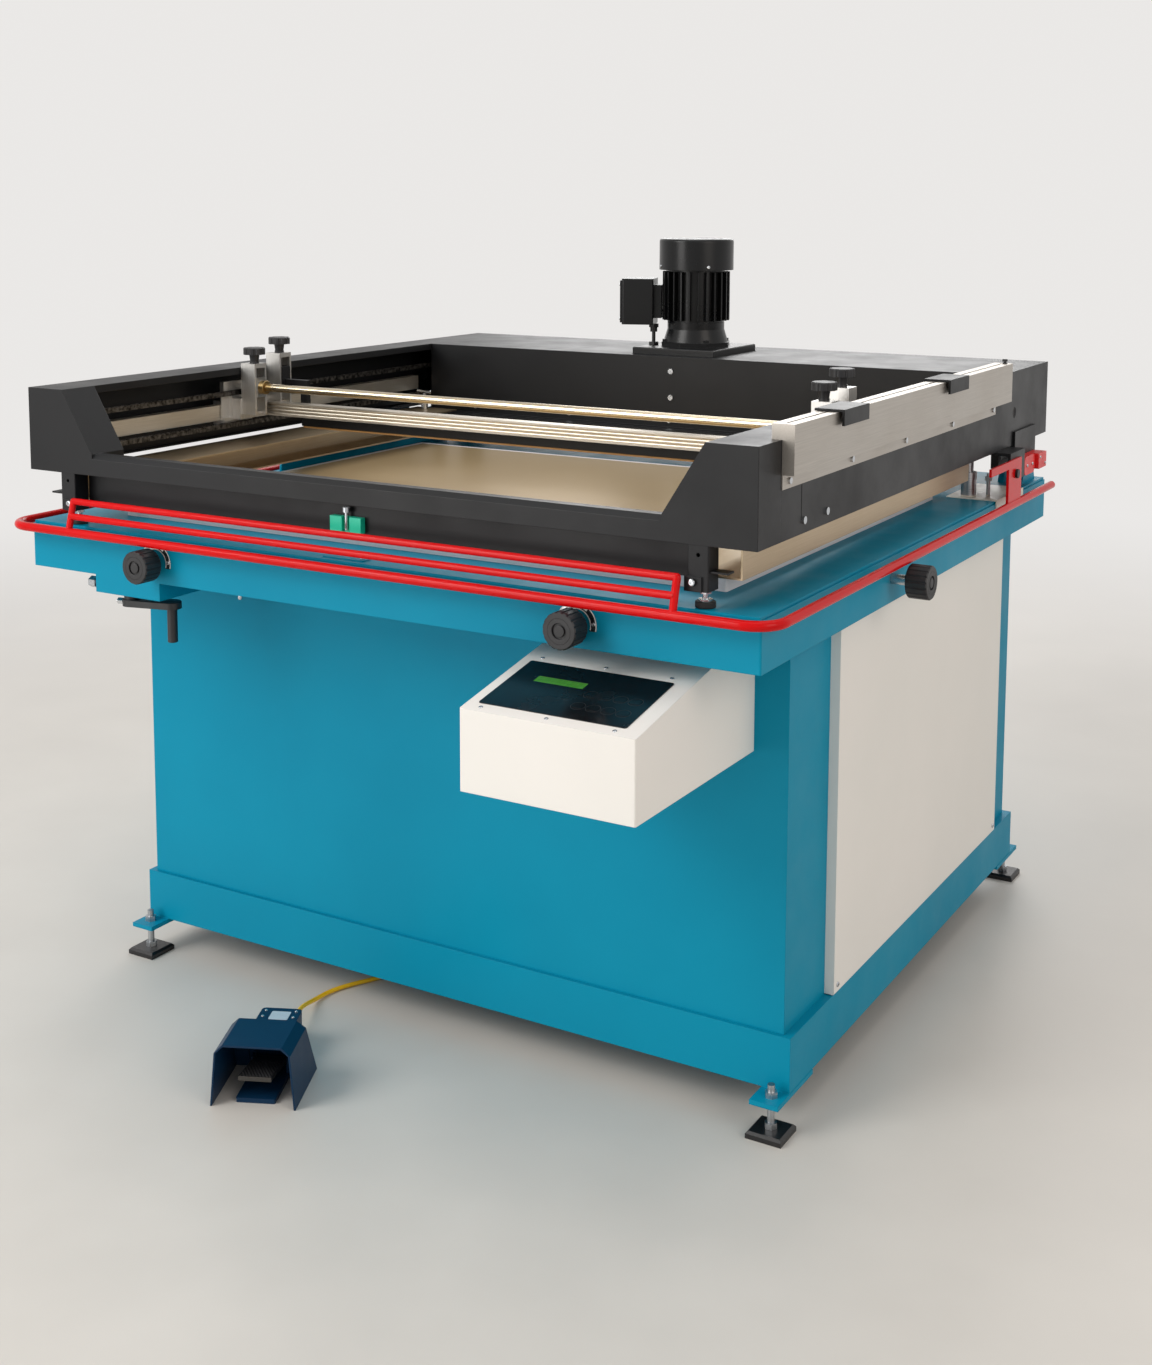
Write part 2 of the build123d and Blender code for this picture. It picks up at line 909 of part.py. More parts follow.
def rear_box():
    """Rear box between the side boxes, which holds the shaft and the gearbox."""
    outer = span(-box_inner, box_inner, rear_box_front, head_rear, head_bottom, head_top)
    inner = span(sheet - box_inner, box_inner - sheet, rear_box_front + sheet,
                 head_rear - sheet, head_bottom + sheet, head_top - sheet)
    box = outer - inner
    box -= rod_x(bearing_radius, -box_inner, box_inner, shaft_y, shaft_z)
    return box - rod_z(gear_boss, head_top - sheet, head_top, motor_x, motor_y)


def head_legs():
    """Square legs under the end caps, with a cross hole near the top."""
    low = head_bottom - leg_drop
    leg = span(leg_x - leg_width / 2, leg_x + leg_width / 2, head_front,
               head_front + leg_width, low, head_bottom)
    leg = fillet(leg.edges().filter_by(Axis.Z), 2.0)
    hole = 3.0
    leg -= rod_y(hole, head_front, head_front + leg_width, leg_x, head_bottom - 14)
    return both(leg)


def leg_brackets():
    """Black plates on the legs, with a bolt that the safety rail's slot rides on."""
    low = head_bottom - leg_drop
    plate = span(leg_x - 21, leg_x + 7, head_front - 3, head_front, low, low + 22)
    plate += span(leg_x + leg_width / 2, leg_x + 45, head_front + 4, head_front + 26,
                  low + 28, low + 31)
    bolt = rod_y(5.5, head_front - 7, head_front - 3, leg_x - 7, low + 14)
    return both(plate + bolt)


def stop_bolts():
    """Stop bolts under the legs, each with a lock nut."""
    low = head_bottom - leg_drop
    centre = head_front + leg_width - 8
    stud = rod_z(stop_stud, table_top + stop_height, low, leg_x, centre)
    stud += hex_z(3.2 * stop_stud, low - 7, low, leg_x, centre)
    stud += rod_z(stop_radius - 5, table_top + stop_height, table_top + stop_height + 3,
                  leg_x, centre)
    return both(stud)


def stop_discs():
    """Rubber discs that the head rests on."""
    centre = head_front + leg_width - 8
    disc = rod_z(stop_radius, table_top, table_top + stop_height, leg_x, centre)
    return both(fillet(disc.edges(), 2.0))


def hinge_lugs():
    """Hinge lugs under the side boxes, each with an arm to the front."""
    half = lug_width / 2
    lug = rod_x(lug_radius, hinge_x - half, hinge_x + half, hinge_y, hinge_z)
    lug += span(hinge_x - half, hinge_x + half, hinge_y - lug_radius, hinge_y + lug_radius,
                hinge_z, head_bottom)
    arm = 8.0
    lug += span(hinge_x - arm, hinge_x + arm, lug_front, hinge_y, hinge_z - arm,
                hinge_z + arm)
    lug += span(hinge_x - arm, hinge_x + arm, lug_front, lug_front + 2 * arm,
                hinge_z - arm, head_bottom)
    bore = hinge_pin + running
    return both(lug - rod_x(bore, hinge_x - half, hinge_x + half, hinge_y, hinge_z))


def guide_bars():
    """Ground guide bars inside the side boxes, on spacer blocks."""
    outer = guide_inner + guide_thick
    bar = span(guide_inner, outer, guide_front, guide_rear, guide_low,
               guide_low + guide_height)
    bar = chamfer(bar.edges().filter_by(Axis.Y), 1.0)
    inset = 8.0
    for place in (0.03, 0.35, 0.67, 0.97):
        y = guide_front + place * (guide_rear - guide_front)
        bar += span(outer, half_head - sheet, y - 15, y + 15, guide_low + inset,
                    guide_low + guide_height - inset)
    return both(bar)


def sprocket(bore):
    """Toothed wheel about X at the shaft's place in depth zero, with a round bore."""
    root = chain_radius - 3.6
    tip = chain_radius + 3.4
    wheel = Cylinder(root, sprocket_thick)
    base = chain_pitch * 0.36
    crown = chain_pitch * 0.14
    tooth_points = [(root - 2, -base), (tip, -crown), (tip, crown), (root - 2, base)]
    tooth = extrude(make_face(Polyline(tooth_points, close=True)), sprocket_thick / 2,
                    both=True)
    for turn in PolarLocations(0, sprocket_teeth):
        wheel += turn * tooth
    hub = root * 0.55
    wheel += Cylinder(hub, chain_width)
    wheel -= Cylinder(bore, chain_width)
    return Rot(0, 90, 0) * wheel


def drive_shaft():
    """Cross shaft with a sprocket at each end."""
    reach = chain_x + chain_width / 2 + 2
    shaft = rod_x(shaft_radius, -reach, reach, shaft_y, shaft_z)
    for side in (-1, 1):
        shaft += Pos(side * chain_x, shaft_y, shaft_z) * sprocket(shaft_radius - 1)
    return shaft


def idler(side):
    """Front idler sprocket of one chain."""
    return Pos(side * chain_x, idler_y, shaft_z) * sprocket(idler_bore + running)


def idler_stubs():
    """Stub axles of the idlers, fixed in the guide bars."""
    inner = chain_x - chain_width / 2 - 4
    stub = rod_x(idler_bore, inner, guide_inner, idler_y, shaft_z)
    stub += rod_x(idler_bore + 3, inner, inner + 3, idler_y, shaft_z)
    stub += rod_x(idler_bore + 3, chain_x + chain_width / 2 + 1, guide_inner,
                  idler_y, shaft_z)
    return both(stub)


def drive_chains():
    """Chain loops round the sprockets, with a rib of link plates on each side."""
    inner = chain_radius + chain_gap
    loop = SlotCenterToCenter(shaft_y - idler_y, 2 * (inner + chain_thick))
    hollow = SlotCenterToCenter(shaft_y - idler_y, 2 * inner)
    ring = extrude(loop - hollow, chain_width / 2, both=True)
    middle = (shaft_y + idler_y) / 2
    ring = Pos(chain_x, middle, shaft_z) * Rot(0, 90, 0) * Rot(0, 0, 90) * ring
    return both(ring)


def shaft_bearings():
    """Bearing rings in the rear box's end plates."""
    outer = box_inner + 2
    inner = outer - bearing_width
    ring = rod_x(bearing_radius, inner, outer, shaft_y, shaft_z)
    return both(ring - rod_x(shaft_radius + running, inner, outer, shaft_y, shaft_z))


def gearbox():
    """Worm gearbox on the cross shaft, with the boss that carries the motor."""
    high = head_top - sheet
    block = span(motor_x - gear_half, motor_x + gear_half, shaft_y - gear_radius,
                 motor_y + gear_rear, shaft_z - gear_radius, high)
    block = fillet(block.edges().filter_by(Axis.X), 6.0)
    block += rod_z(gear_boss, high, head_top, motor_x, motor_y)
    return block - rod_x(shaft_radius + running, motor_x - gear_half, motor_x + gear_half,
                         shaft_y, shaft_z)


def motor_plate():
    """Mounting plate on the rear box, with bevelled edges."""
    plate = span(motor_plate_left, motor_plate_right, motor_plate_front, motor_plate_rear,
                 head_top, motor_seat)
    return chamfer(plate.edges().group_by(Axis.Z)[-1], 2.0)


def motor_adapter():
    """Octagonal foot flange, cone and neck of the motor, with four bolts."""
    flange = 10.0
    adapter = Pos(0, 0, 0) * extrude(RegularPolygon(adapter_radius, 8), flange)
    adapter += Pos(0, 0, flange) * Cone(adapter_radius - 8, neck_radius,
                                       adapter_height - flange,
                                       align=(Align.CENTER, Align.CENTER, Align.MIN))
    adapter += Pos(0, 0, adapter_height) * Cylinder(neck_radius, neck_height,
                                                   align=(Align.CENTER, Align.CENTER,
                                                          Align.MIN))
    for turn in PolarLocations(adapter_radius - 9, 4, 45):
        adapter += turn * extrude(RegularPolygon(7, 6), flange + 6)
    return Pos(motor_x, motor_y, motor_seat) * adapter


def motor_body():
    """Finned motor housing."""
    low = motor_seat + adapter_height + neck_height
    body = Cylinder(body_radius, body_length, align=(Align.CENTER, Align.CENTER, Align.MIN))
    fin = Pos(body_radius + fin_height / 2, 0, body_length / 2) * Box(
        fin_height + 2, fin_thick, body_length - 8)
    for turn in PolarLocations(0, fin_count):
        body += turn * fin
    return Pos(motor_x, motor_y, low) * body


def motor_cowl():
    """Fan cowl over the motor, with a rounded rim and ring slots in its top."""
    low = motor_seat + adapter_height + neck_height + body_length
    cowl = Cylinder(cowl_radius, cowl_length, align=(Align.CENTER, Align.CENTER, Align.MIN))
    cowl = fillet(cowl.edges().group_by(Axis.Z)[-1], 7.0)
    for radius in (22, 38, 54):
        ring = Cylinder(radius + 4, 3) - Cylinder(radius, 3)
        cowl -= Pos(0, 0, cowl_length) * ring
    return Pos(motor_x, motor_y, low) * cowl


def terminal_box():
    """Terminal box beside the motor, with its lid, on a short neck."""
    near = body_radius + fin_height + 1.5
    far = near + 16
    box = span(-far - terminal_width, -far, -terminal_depth / 2, terminal_depth / 2,
               0, terminal_height)
    box = fillet(box.edges().filter_by(Axis.Z), 5.0)
    lid = span(-far - terminal_width - 4, -far - terminal_width, 4 - terminal_depth / 2,
               terminal_depth / 2 - 4, 4, terminal_height - 4)
    neck = span(-far, -near, -24, 24, 14, terminal_height - 14)
    return Pos(motor_x, motor_y, terminal_z) * Rot(0, 0, terminal_turn) * (box + lid + neck)


def cable_place():
    """The motor cable's place, as X and Y."""
    reach = body_radius + fin_height + 21
    turn = math.radians(180 + terminal_turn)
    return motor_x + reach * math.cos(turn), motor_y + reach * math.sin(turn)


def motor_gland():
    """Cable gland under the terminal box, and the one in the mounting plate."""
    x, y = cable_place()
    across = 2.6 * gland_radius
    gland = hex_z(across, terminal_z - 8, terminal_z, x, y)
    gland += rod_z(gland_radius, terminal_z - gland_length, terminal_z - 8, x, y)
    gland += hex_z(across, motor_seat, motor_seat + 7, x, y)
    return gland


def motor_cable():
    """Short cable from the terminal box down through the mounting plate."""
    x, y = cable_place()
    return rod_z(cable_radius, motor_seat + 7, terminal_z - gland_length, x, y)


def rail_cover():
    """Stainless cover folded over the right side box, with a screw flange and a slot."""
    skin = cover_sheet
    cover = span(cover_inner, cover_outer, cover_front, cover_rear, cover_low, cover_high)
    cover -= span(cover_inner + skin, cover_outer - skin, cover_front + skin,
                  cover_rear - skin, cover_low + skin, cover_high - skin)
    cover -= span(cover_inner, half_head, cover_front, cover_rear, cover_low, head_top)
    cover += span(half_head, half_head + skin, cover_front, cover_rear - 45,
                  cover_low - cover_flange, cover_low)
    slot = cover_middle
    return cover - span(slot - 2, slot + 2, cover_front + 12, cover_rear - 12,
                        cover_high - skin, cover_high)


def stroke_bracket(front):
    """Angle bracket that slides on the cover and sets one end of the stroke."""
    rear = front + bracket_length
    low = cover_high + seat_gap
    high = low + bracket_thick
    outer = cover_outer + 9
    bracket = span(cover_inner - 4, outer, front, rear, low, high)
    bracket += span(outer - bracket_thick, outer, front, rear, high - bracket_drop, high)
    middle = (front + rear) / 2
    stem = 1.7
    bracket += span(cover_middle - stem, cover_middle + stem, middle - 18, middle + 18,
                    cover_high - cover_sheet - 4, low)
    return bracket


def front_rail():
    """Flat cross rail between the legs, which carries the screen holders."""
    half = leg_x - leg_width / 2
    return span(-half, half, front_rail_y, front_rail_y + front_rail_thick,
                head_bottom - front_rail_drop, front_rail_top)


def front_clamp():
    """Green screen clamp on the front rail."""
    low = head_bottom - front_rail_drop + 4
    block = span(-54, 9, front_rail_y - 12, front_rail_y, low, low + 26)
    block -= span(-30, -14, front_rail_y - 12, front_rail_y - 6, low, low + 26)
    return block


def clamp_bolt():
    """Bolt through the green clamp."""
    low = head_bottom - front_rail_drop + 4
    bolt = rod_z(3.0, low + 4, low + 38, -22, front_rail_y - 9)
    return bolt + rod_z(6.5, low + 34, low + 42, -22, front_rail_y - 9)


def rear_rail():
    """Slotted rail on the rear box, which carries the screen holders' clamps."""
    front = rear_box_front - rear_rail_depth
    rail = span(-holder_outer, holder_outer, front, rear_box_front,
                front_rail_top - rear_rail_thick, front_rail_top)
    rail += span(-box_inner, box_inner, rear_box_front - sheet, rear_box_front,
                 front_rail_top, front_rail_top + 24)
    half = clamp_screw + slip
    return rail - span(-holder_outer + 8, holder_outer - 8, clamp_y - half,
                       clamp_y + half, front_rail_top - rear_rail_thick, front_rail_top)


def screen_holder(side):
    """C rail that a screen frame slides into, with a hole for its clamp."""
    low = front_rail_top - holder_depth
    rear_edge = rear_box_front - rear_rail_depth - 3
    front_edge = front_rail_y + front_rail_thick + 3
    inner = side * holder_inner
    outer = side * holder_outer
    rail = span(inner, outer, front_rail_y, rear_box_front - sheet - 1, front_rail_top,
                holder_top)
    rail += span(outer - side * holder_sheet, outer, front_edge, rear_edge, low,
                 front_rail_top)
    rail += span(outer - side * holder_ledge, outer, front_edge, rear_edge,
                 low - holder_sheet, low)
    return rail - rod_z(clamp_screw + running, front_rail_top, holder_top,
                        side * clamp_x, clamp_y)


def holder_clamp(side):
    """T-handle screw that clamps a screen holder to the rear rail."""
    x = side * clamp_x
    high = holder_top + clamp_top
    clamp = rod_z(clamp_screw, front_rail_top - rear_rail_thick - 6, high, x, clamp_y)
    clamp += rod_z(2 * clamp_screw, holder_top + seat_gap, holder_top + clamp_collar, x,
                   clamp_y)
    bar = rod_x(5.0, x - clamp_bar, x + clamp_bar, clamp_y, high - 2)
    return clamp + fillet(bar.edges(), 2.0)


def head_screws():
    """Screws in the rear box's face, the side boxes and the cover's flange."""
    heads = Part()
    for place in range(5):
        x = rear_screw_first + place * rear_screw_pitch
        heads += rod_y(small_screw, rear_box_front - sheet - screw_head,
                       rear_box_front - sheet, x, front_rail_top + rear_screw_up)
    for z in (head_top - face_screw_down, head_bottom + face_screw_up):
        heads += rod_y(large_screw, rear_box_front - screw_head, rear_box_front,
                       face_screw_x, z)
    for y in (box_screw_front, box_screw_rear):
        heads += rod_x(large_screw, half_head, half_head + screw_head, y,
                       head_bottom + box_screw_up)
    outside = half_head + cover_sheet
    for place in range(5):
        y = cover_front + cover_screw_first + place * cover_screw_pitch
        heads += rod_x(small_screw, outside, outside + screw_head, y,
                       cover_low - cover_flange / 2)
    return heads


# Carriage


def sliders():
    """I-shaped slider plates, each with a shoe round its guide bar."""
    inner = guide_inner - slider_thick - 1
    front = slider_y - slider_flange / 2
    rear = slider_y + slider_flange / 2
    plate = span(inner, guide_inner - 1, front, rear, slider_low, slider_high)
    for y0, y1 in ((front, slider_y - slider_web / 2), (slider_y + slider_web / 2, rear)):
        plate -= span(inner, guide_inner - 4, y0, y1, slider_low + slider_rim,
                      slider_high - slider_rim)
    gap = seat_gap
    bar_top = guide_low + guide_height
    plate += span(guide_inner - 1, guide_inner + guide_thick, front, rear,
                  bar_top + gap, bar_top + gap + shoe_lip)
    plate += span(guide_inner - 1, guide_inner + guide_thick, front, rear,
                  guide_low - gap - shoe_lip, guide_low - gap)
    return both(plate)


def carriage_plates():
    """Plates between the sliders and the upright blocks, which pass between the chain's runs."""
    outer = guide_inner - slider_thick - 1
    plate = span(block_outer, outer, plate_front, plate_rear, plate_low, plate_high)
    return both(plate)


def upright_block(y, top):
    """Channel block, open to the inside, with a cap that the setting screw turns in."""
    front = y - block_depth / 2
    rear = y + block_depth / 2
    low = top - block_height
    block = span(block_inner, block_outer, front, rear, low, top)
    block -= span(block_inner, block_outer - block_wall, front + block_wall,
                  rear - block_wall, low, top - block_cap)
    block += span(block_inner + 10, block_outer, front, rear, low, low + block_wall)
    return block - rod_z(star_screw + running, top - block_cap, top, block_middle, y)


def upright_blocks():
    """Two channel blocks on each side of the carriage."""
    front = upright_block(front_block_y, front_block_top)
    rear = upright_block(rear_block_y, rear_block_top)
    return both(front + rear)


def cross_beam():
    """Grooved aluminium beam between the carriage's two sides."""
    reach = block_outer
    beam = span(-reach, reach, beam_y - beam_depth / 2, beam_y + beam_depth / 2,
                beam_low, beam_low + beam_height)
    for level in (0.25, 0.5, 0.75):
        for side in (-1, 1):
            beam -= rod_x(beam_groove, -reach, reach, beam_y + side * (beam_depth / 2 + 1),
                          beam_low + level * beam_height)
    return beam


def slide_block(y, middle):
    """Block that slides up and down in a channel block, threaded for the setting screw."""
    gap = seat_gap
    half = block_depth / 2 - block_wall - gap
    block = span(block_inner - 2, block_outer - block_wall - gap, y - half, y + half,
                 middle - slide_height / 2, middle + slide_height / 2)
    return block - rod_z(star_screw + running, middle - slide_height / 2,
                         middle + slide_height / 2, block_middle, y)


def front_slides():
    """Slide blocks and collars at the ends of the upper rod."""
    middle = front_block_top - rod_drop
    block = slide_block(front_block_y, middle)
    block -= rod_x(rod_radius, block_inner - 2, block_middle - star_screw - 1,
                   front_block_y, middle)
    return both(block)


def upper_rod():
    """Polished rod across the carriage, seated in the front slide blocks."""
    reach = block_middle - star_screw - 1
    return rod_x(rod_radius, -reach, reach, front_block_y, front_block_top - rod_drop)


def rod_collars():
    """Brass collars on the upper rod, beside the slide blocks."""
    middle = front_block_top - rod_drop
    collar = rod_x(rod_radius + 6, block_inner - 16, block_inner - 2.5, front_block_y, middle)
    collar = chamfer(collar.edges(), 1.0)
    return both(collar - rod_x(rod_radius, block_inner - 16, block_inner - 2,
                               front_block_y, middle))


def rear_slides():
    """Slide blocks at the back, each with a hanger for the squeegee bar."""
    middle = rear_block_top - rod_drop
    block = slide_block(rear_block_y, middle)
    top = bar_low + bar_height
    low = middle - slide_height / 2
    block += span(bar_half - 12, block_inner - 2, rear_block_y - 6, rear_block_y + 6,
                  low, low + 14)
    block += span(bar_half - 12, bar_half + 4, rear_block_y - 6, rear_block_y + 6,
                  top, low + 14)
    return both(block)


def squeegee_bar():
    """Black clamp bar of the squeegee, with a groove for the blade."""
    bar = span(-bar_half, bar_half, rear_block_y - bar_thick / 2,
               rear_block_y + bar_thick / 2, bar_low, bar_low + bar_height)
    bar = chamfer(bar.edges().filter_by(Axis.X), 1.5)
    return bar - span(-bar_half, bar_half, rear_block_y - blade_thick / 2,
                      rear_block_y + blade_thick / 2, bar_low, bar_low + bar_height / 2)


def squeegee_blade():
    """Flat squeegee blade in the bar's groove."""
    return span(-bar_half, bar_half, rear_block_y - blade_thick / 2,
                rear_block_y + blade_thick / 2, bar_low - blade_drop,
                bar_low + bar_height / 2)


def setting_knob(side, y, top):
    """Lobed knob with its neck and setting screw, above one channel block."""
    x = side * block_middle
    head = star_height
    neck = star_height
    knob = Cylinder(star_radius, head, align=(Align.CENTER, Align.CENTER, Align.MIN))
    for turn in PolarLocations(star_radius + 2.5, star_lobes):
        knob -= turn * Cylinder(4.5, head, align=(Align.CENTER, Align.CENTER, Align.MIN))
    knob = chamfer(knob.faces().sort_by(Axis.Z)[-1].edges(), 1.5)
    knob = Pos(x, y, top + 4 + neck) * knob
    knob += Pos(x, y, top + 4) * Cone(star_neck - 2, star_neck, neck,
                                      align=(Align.CENTER, Align.CENTER, Align.MIN))
    knob += rod_z(star_neck - 1, top + seat_gap, top + 4, x, y)
    return knob + rod_z(star_screw, top - rod_drop - slide_height / 2, top + 4, x, y)


# Safety rail


def rail_tube(radius, points, bend):
    """Round tube along a path of straight runs with equal bends."""
    path = FilletPolyline(*points, radius=bend)
    section = Plane(origin=path @ 0, z_dir=path % 0) * Circle(radius)
    return sweep(section, path=path)


def safety_rail():
    """Red guard rail in front of the head, with its inner tubes, arms and hangers."""
    points = [(-rail_x, rail_rear, rail_z), (-rail_x, rail_front, rail_z),
              (rail_x, rail_front, rail_z), (rail_x, rail_rear, rail_z)]
    rail = rail_tube(rail_radius, points, rail_bend)
    rail += rod_x(inner_rail_radius, -inner_rail_half, inner_rail_half, upper_rail_y,
                  upper_rail_z)
    rail += rod_x(inner_rail_radius, -inner_rail_half, inner_rail_half, lower_rail_y,
                  lower_rail_z)
    for side in (-1, 1):
        x = side * inner_rail_half
        arm = Line((x, upper_rail_y, upper_rail_z), (x, rail_front, rail_z))
        section = Plane(origin=arm @ 0, z_dir=arm % 0) * Circle(inner_rail_radius)
        rail += sweep(section, path=arm)
        rail += Pos(x, upper_rail_y, upper_rail_z) * Sphere(inner_rail_radius)
        near = side * hanger_face
        far = near + side * rail_plate
        rail += span(near, far, hanger_front, hanger_rear, rail_z - 6, hanger_top)
        rail += span(near, far, hanger_front - 113, hanger_front, hanger_top,
                     hanger_top + 15)
        rail += span(near, far, hanger_front - 2, hanger_rear, hanger_top,
                     hanger_top + 15)
        rail -= rod_x(hanger_bolt + running, near, far, rail_pivot_y, rail_pivot_z)
    return rail


def rail_hangers():
    """Black angle brackets under the side boxes, with the safety rail's pivot bolts."""
    outer = hanger_face - seat_gap
    low = rail_pivot_z - 16
    front = rail_pivot_y - 22
    rear = rail_pivot_y + 75
    hanger = span(half_head - side_lip, outer, front, rear, head_bottom - 5, head_bottom)
    hanger += span(outer - 5, outer, front, rear, low, head_bottom)
    cap = hanger_face + rail_plate + seat_gap
    hanger += rod_x(hanger_bolt, outer, cap + 5, rail_pivot_y, rail_pivot_z)
    hanger += rod_x(hanger_bolt + 4, cap, cap + 5, rail_pivot_y, rail_pivot_z)
    return both(hanger)


def hinge_switch():
    """Red safety switch beside the right hinge, in two housings."""
    inner = half_head + switch_out
    outer = inner + switch_thick
    front = hinge_y - switch_ahead
    rear = front + switch_length
    first = span(inner, outer, front, rear, hinge_z - 18, hinge_z + 20)
    first = fillet(first.edges().filter_by(Axis.X), 12.0)
    next_front = rear + switch_gap
    second = span(inner, outer + 6, next_front, next_front + actuator_length, hinge_z - 14,
                  hinge_z + 18)
    second = fillet(second.edges().filter_by(Axis.X), 3.0)
    link = span(inner, inner + 8, rear - 6, next_front + 6, hinge_z - 6, hinge_z + 6)
    return first + second + link


def switch_plate():
    """Black plate on the right side box that carries the safety switch."""
    front = hinge_y - switch_ahead - 4
    length = switch_length + switch_gap + actuator_length + 10
    return span(half_head, half_head + switch_out, front, front + length, hinge_z - 14,
                head_bottom + 28)


# Rear rest


def rest_plate():
    """Cream plate over the table's right edge, folded down at the side."""
    outer = table_width / 2 + rest_sheet
    plate = span(rest_left, outer, rest_front, rest_rear, table_top,
                 table_top + rest_sheet)
    plate += span(outer - rest_sheet, outer, rest_front, rest_rear, table_top - 30,
                  table_top + rest_sheet)
    return plate


def rear_rest():
    """Rest post under the rear rail, with a black body and a bright collar."""
    low = table_top + rest_sheet
    high = front_rail_top - rear_rail_thick - seat_gap
    post = rod_z(damper_radius, low, low + 34, damper_x, damper_y)
    post += rod_z(damper_radius - 6, low + 34, high, damper_x, damper_y)
    return post


def rest_collar():
    """Bright lock collar and side screw of the rear rest."""
    low = table_top + rest_sheet + 34
    collar = rod_z(damper_radius + 1, low, low + 14, damper_x, damper_y)
    collar -= rod_z(damper_radius - 6, low, low + 14, damper_x, damper_y)
    base = table_top + rest_sheet
    screw = rod_z(4.0, base, base + 44, damper_x + 34, damper_y + 20)
    screw += hex_z(13.0, base + 30, base + 38, damper_x + 34, damper_y + 20)
    return collar + screw


# Foot pedal


def hood_face(inset):
    """The hood's front outline, moved in by a wall thickness."""
    lean = (pedal_width - pedal_top_width) / 2
    points = [(inset, 0), (lean + inset, pedal_height - pedal_bevel),
              (lean + pedal_bevel + inset / 2, pedal_height - inset),
              (pedal_width - lean - pedal_bevel - inset / 2, pedal_height - inset),
              (pedal_width - lean - inset, pedal_height - pedal_bevel),
              (pedal_width - inset, 0)]
    return make_face(Polyline(points, close=True))


def hood_back(z):
    """How far back the hood's sloping rear face is at one height."""
    return pedal_depth - (pedal_depth - pedal_top_depth) * z / pedal_height


def hood_solid(inset):
    """The hood's form, cut by its sloping back."""
    form = Plane.XZ * hood_face(inset)
    solid = extrude(form, -(pedal_depth - inset))
    above = pedal_height + 1
    points = [(hood_back(0) - inset, 0), (hood_back(above) - inset, above),
              (pedal_depth + 1, above), (pedal_depth + 1, 0)]
    return solid - along_x(points, -1, pedal_width + 1)


def pedal_hood():
    """Shield over the treadle, open at the front and below."""
    hood = hood_solid(0) - hood_solid(pedal_wall)
    gate = pedal_wall + 1
    return turned(hood - span(switch_box_left + gate, switch_box_right - gate,
                              pedal_top_depth, pedal_depth, 0, switch_box_height - gate))


def pedal_base():
    """Base plate of the pedal, with two ears for the treadle's pin."""
    base = span(pedal_base_left, pedal_base_right, pedal_base_front,
                pedal_depth - 3 * pedal_wall, 0, pedal_base_thick)
    base = fillet(base.edges().filter_by(Axis.Z), 3.0)
    base += span(pedal_base_left + 4, switch_box_right - 2 * pedal_wall,
                 pedal_depth - 4 * pedal_wall, pedal_depth, 0, pedal_base_thick - 1)
    ear = 5.0
    for x in (pedal_base_left, pedal_base_right - ear):
        base += span(x, x + ear, treadle_pivot_y - 8, treadle_pivot_y + 8,
                     pedal_base_thick, treadle_pivot_z + 8)
        base -= rod_x(treadle_pin, x, x + ear, treadle_pivot_y, treadle_pivot_z)
    return turned(base)


def treadle_pin_rod():
    """Pin that the treadle turns on."""
    return turned(rod_x(treadle_pin, pedal_base_left, pedal_base_right, treadle_pivot_y,
                        treadle_pivot_z))


def treadle():
    """Black treadle plate with its barrel on the pin."""
    ear = 5.0
    left = pedal_base_left + ear + seat_gap
    right = pedal_base_right - ear - seat_gap
    barrel = treadle_pin + 4
    tip_y = treadle_pivot_y - treadle_length
    tip_z = treadle_pivot_z + treadle_rise
    thick = treadle_thick
    points = [(treadle_pivot_y, treadle_pivot_z), (tip_y, tip_z),
              (tip_y, tip_z + thick), (treadle_pivot_y, treadle_pivot_z + barrel)]
    plate = along_x(points, left, right)
    plate += rod_x(barrel, left, right, treadle_pivot_y, treadle_pivot_z)
    plate -= rod_x(treadle_pin + running, left, right, treadle_pivot_y, treadle_pivot_z)
    return turned(plate)


def switch_box():
    """Switch housing behind the hood."""
    points = [(pedal_depth, 0), (hood_back(switch_box_height), switch_box_height),
              (switch_box_rear, switch_box_height), (switch_box_rear, 0)]
    box = along_x(points, switch_box_left, switch_box_right)
    box = fillet(box.edges().filter_by(Axis.Z).group_by(Axis.Y)[-1], 8.0)
    return turned(box)


def pedal_gland():
    """Gland where the cord leaves the switch housing."""
    far = switch_box_rear + gland_length
    gland = rod_y(gland_radius, switch_box_rear, far, pedal_gland_x, pedal_gland_z)
    return turned(chamfer(gland.edges().group_by(Axis.Y)[-1], 2.0))


def cabinet_gland():
    """Gland in the cabinet's floor where the cord goes in."""
    across = 2.6 * gland_radius
    gland = rod_z(gland_radius, plinth_top - 14, plinth_top + sheet + 8, cord_up_x, cord_up_y)
    gland += hex_z(across, plinth_top - 8, plinth_top, cord_up_x, cord_up_y)
    gland += hex_z(across, plinth_top + sheet, plinth_top + sheet + 6, cord_up_x, cord_up_y)
    return gland


def corner_radii(points):
    """The radius of each bend in the cord, from its runs and turns."""
    radii = []
    for before, here, after in zip(points, points[1:], points[2:]):
        first = Vector(*here) - Vector(*before)
        second = Vector(*after) - Vector(*here)
        half = math.radians(first.get_angle(second)) / 2
        radii.append(0.45 * min(first.length, second.length) / math.tan(half))
    return radii


def pedal_cord():
    """Cord from the pedal along the floor and up into the cabinet."""
    radii = corner_radii(cord_points)
    print("cord radii", [round(radius) for radius in radii])
    path = FilletPolyline(*cord_points, radius=radii)
    section = Plane(origin=path @ 0, z_dir=path % 0) * Circle(cord_radius)
    cord = sweep(section, path=path)
    print("cord length", round(path.length), "volume ratio",
          round(cord.volume / (math.pi * cord_radius ** 2 * path.length), 4))
    return cord


# Every node, by name

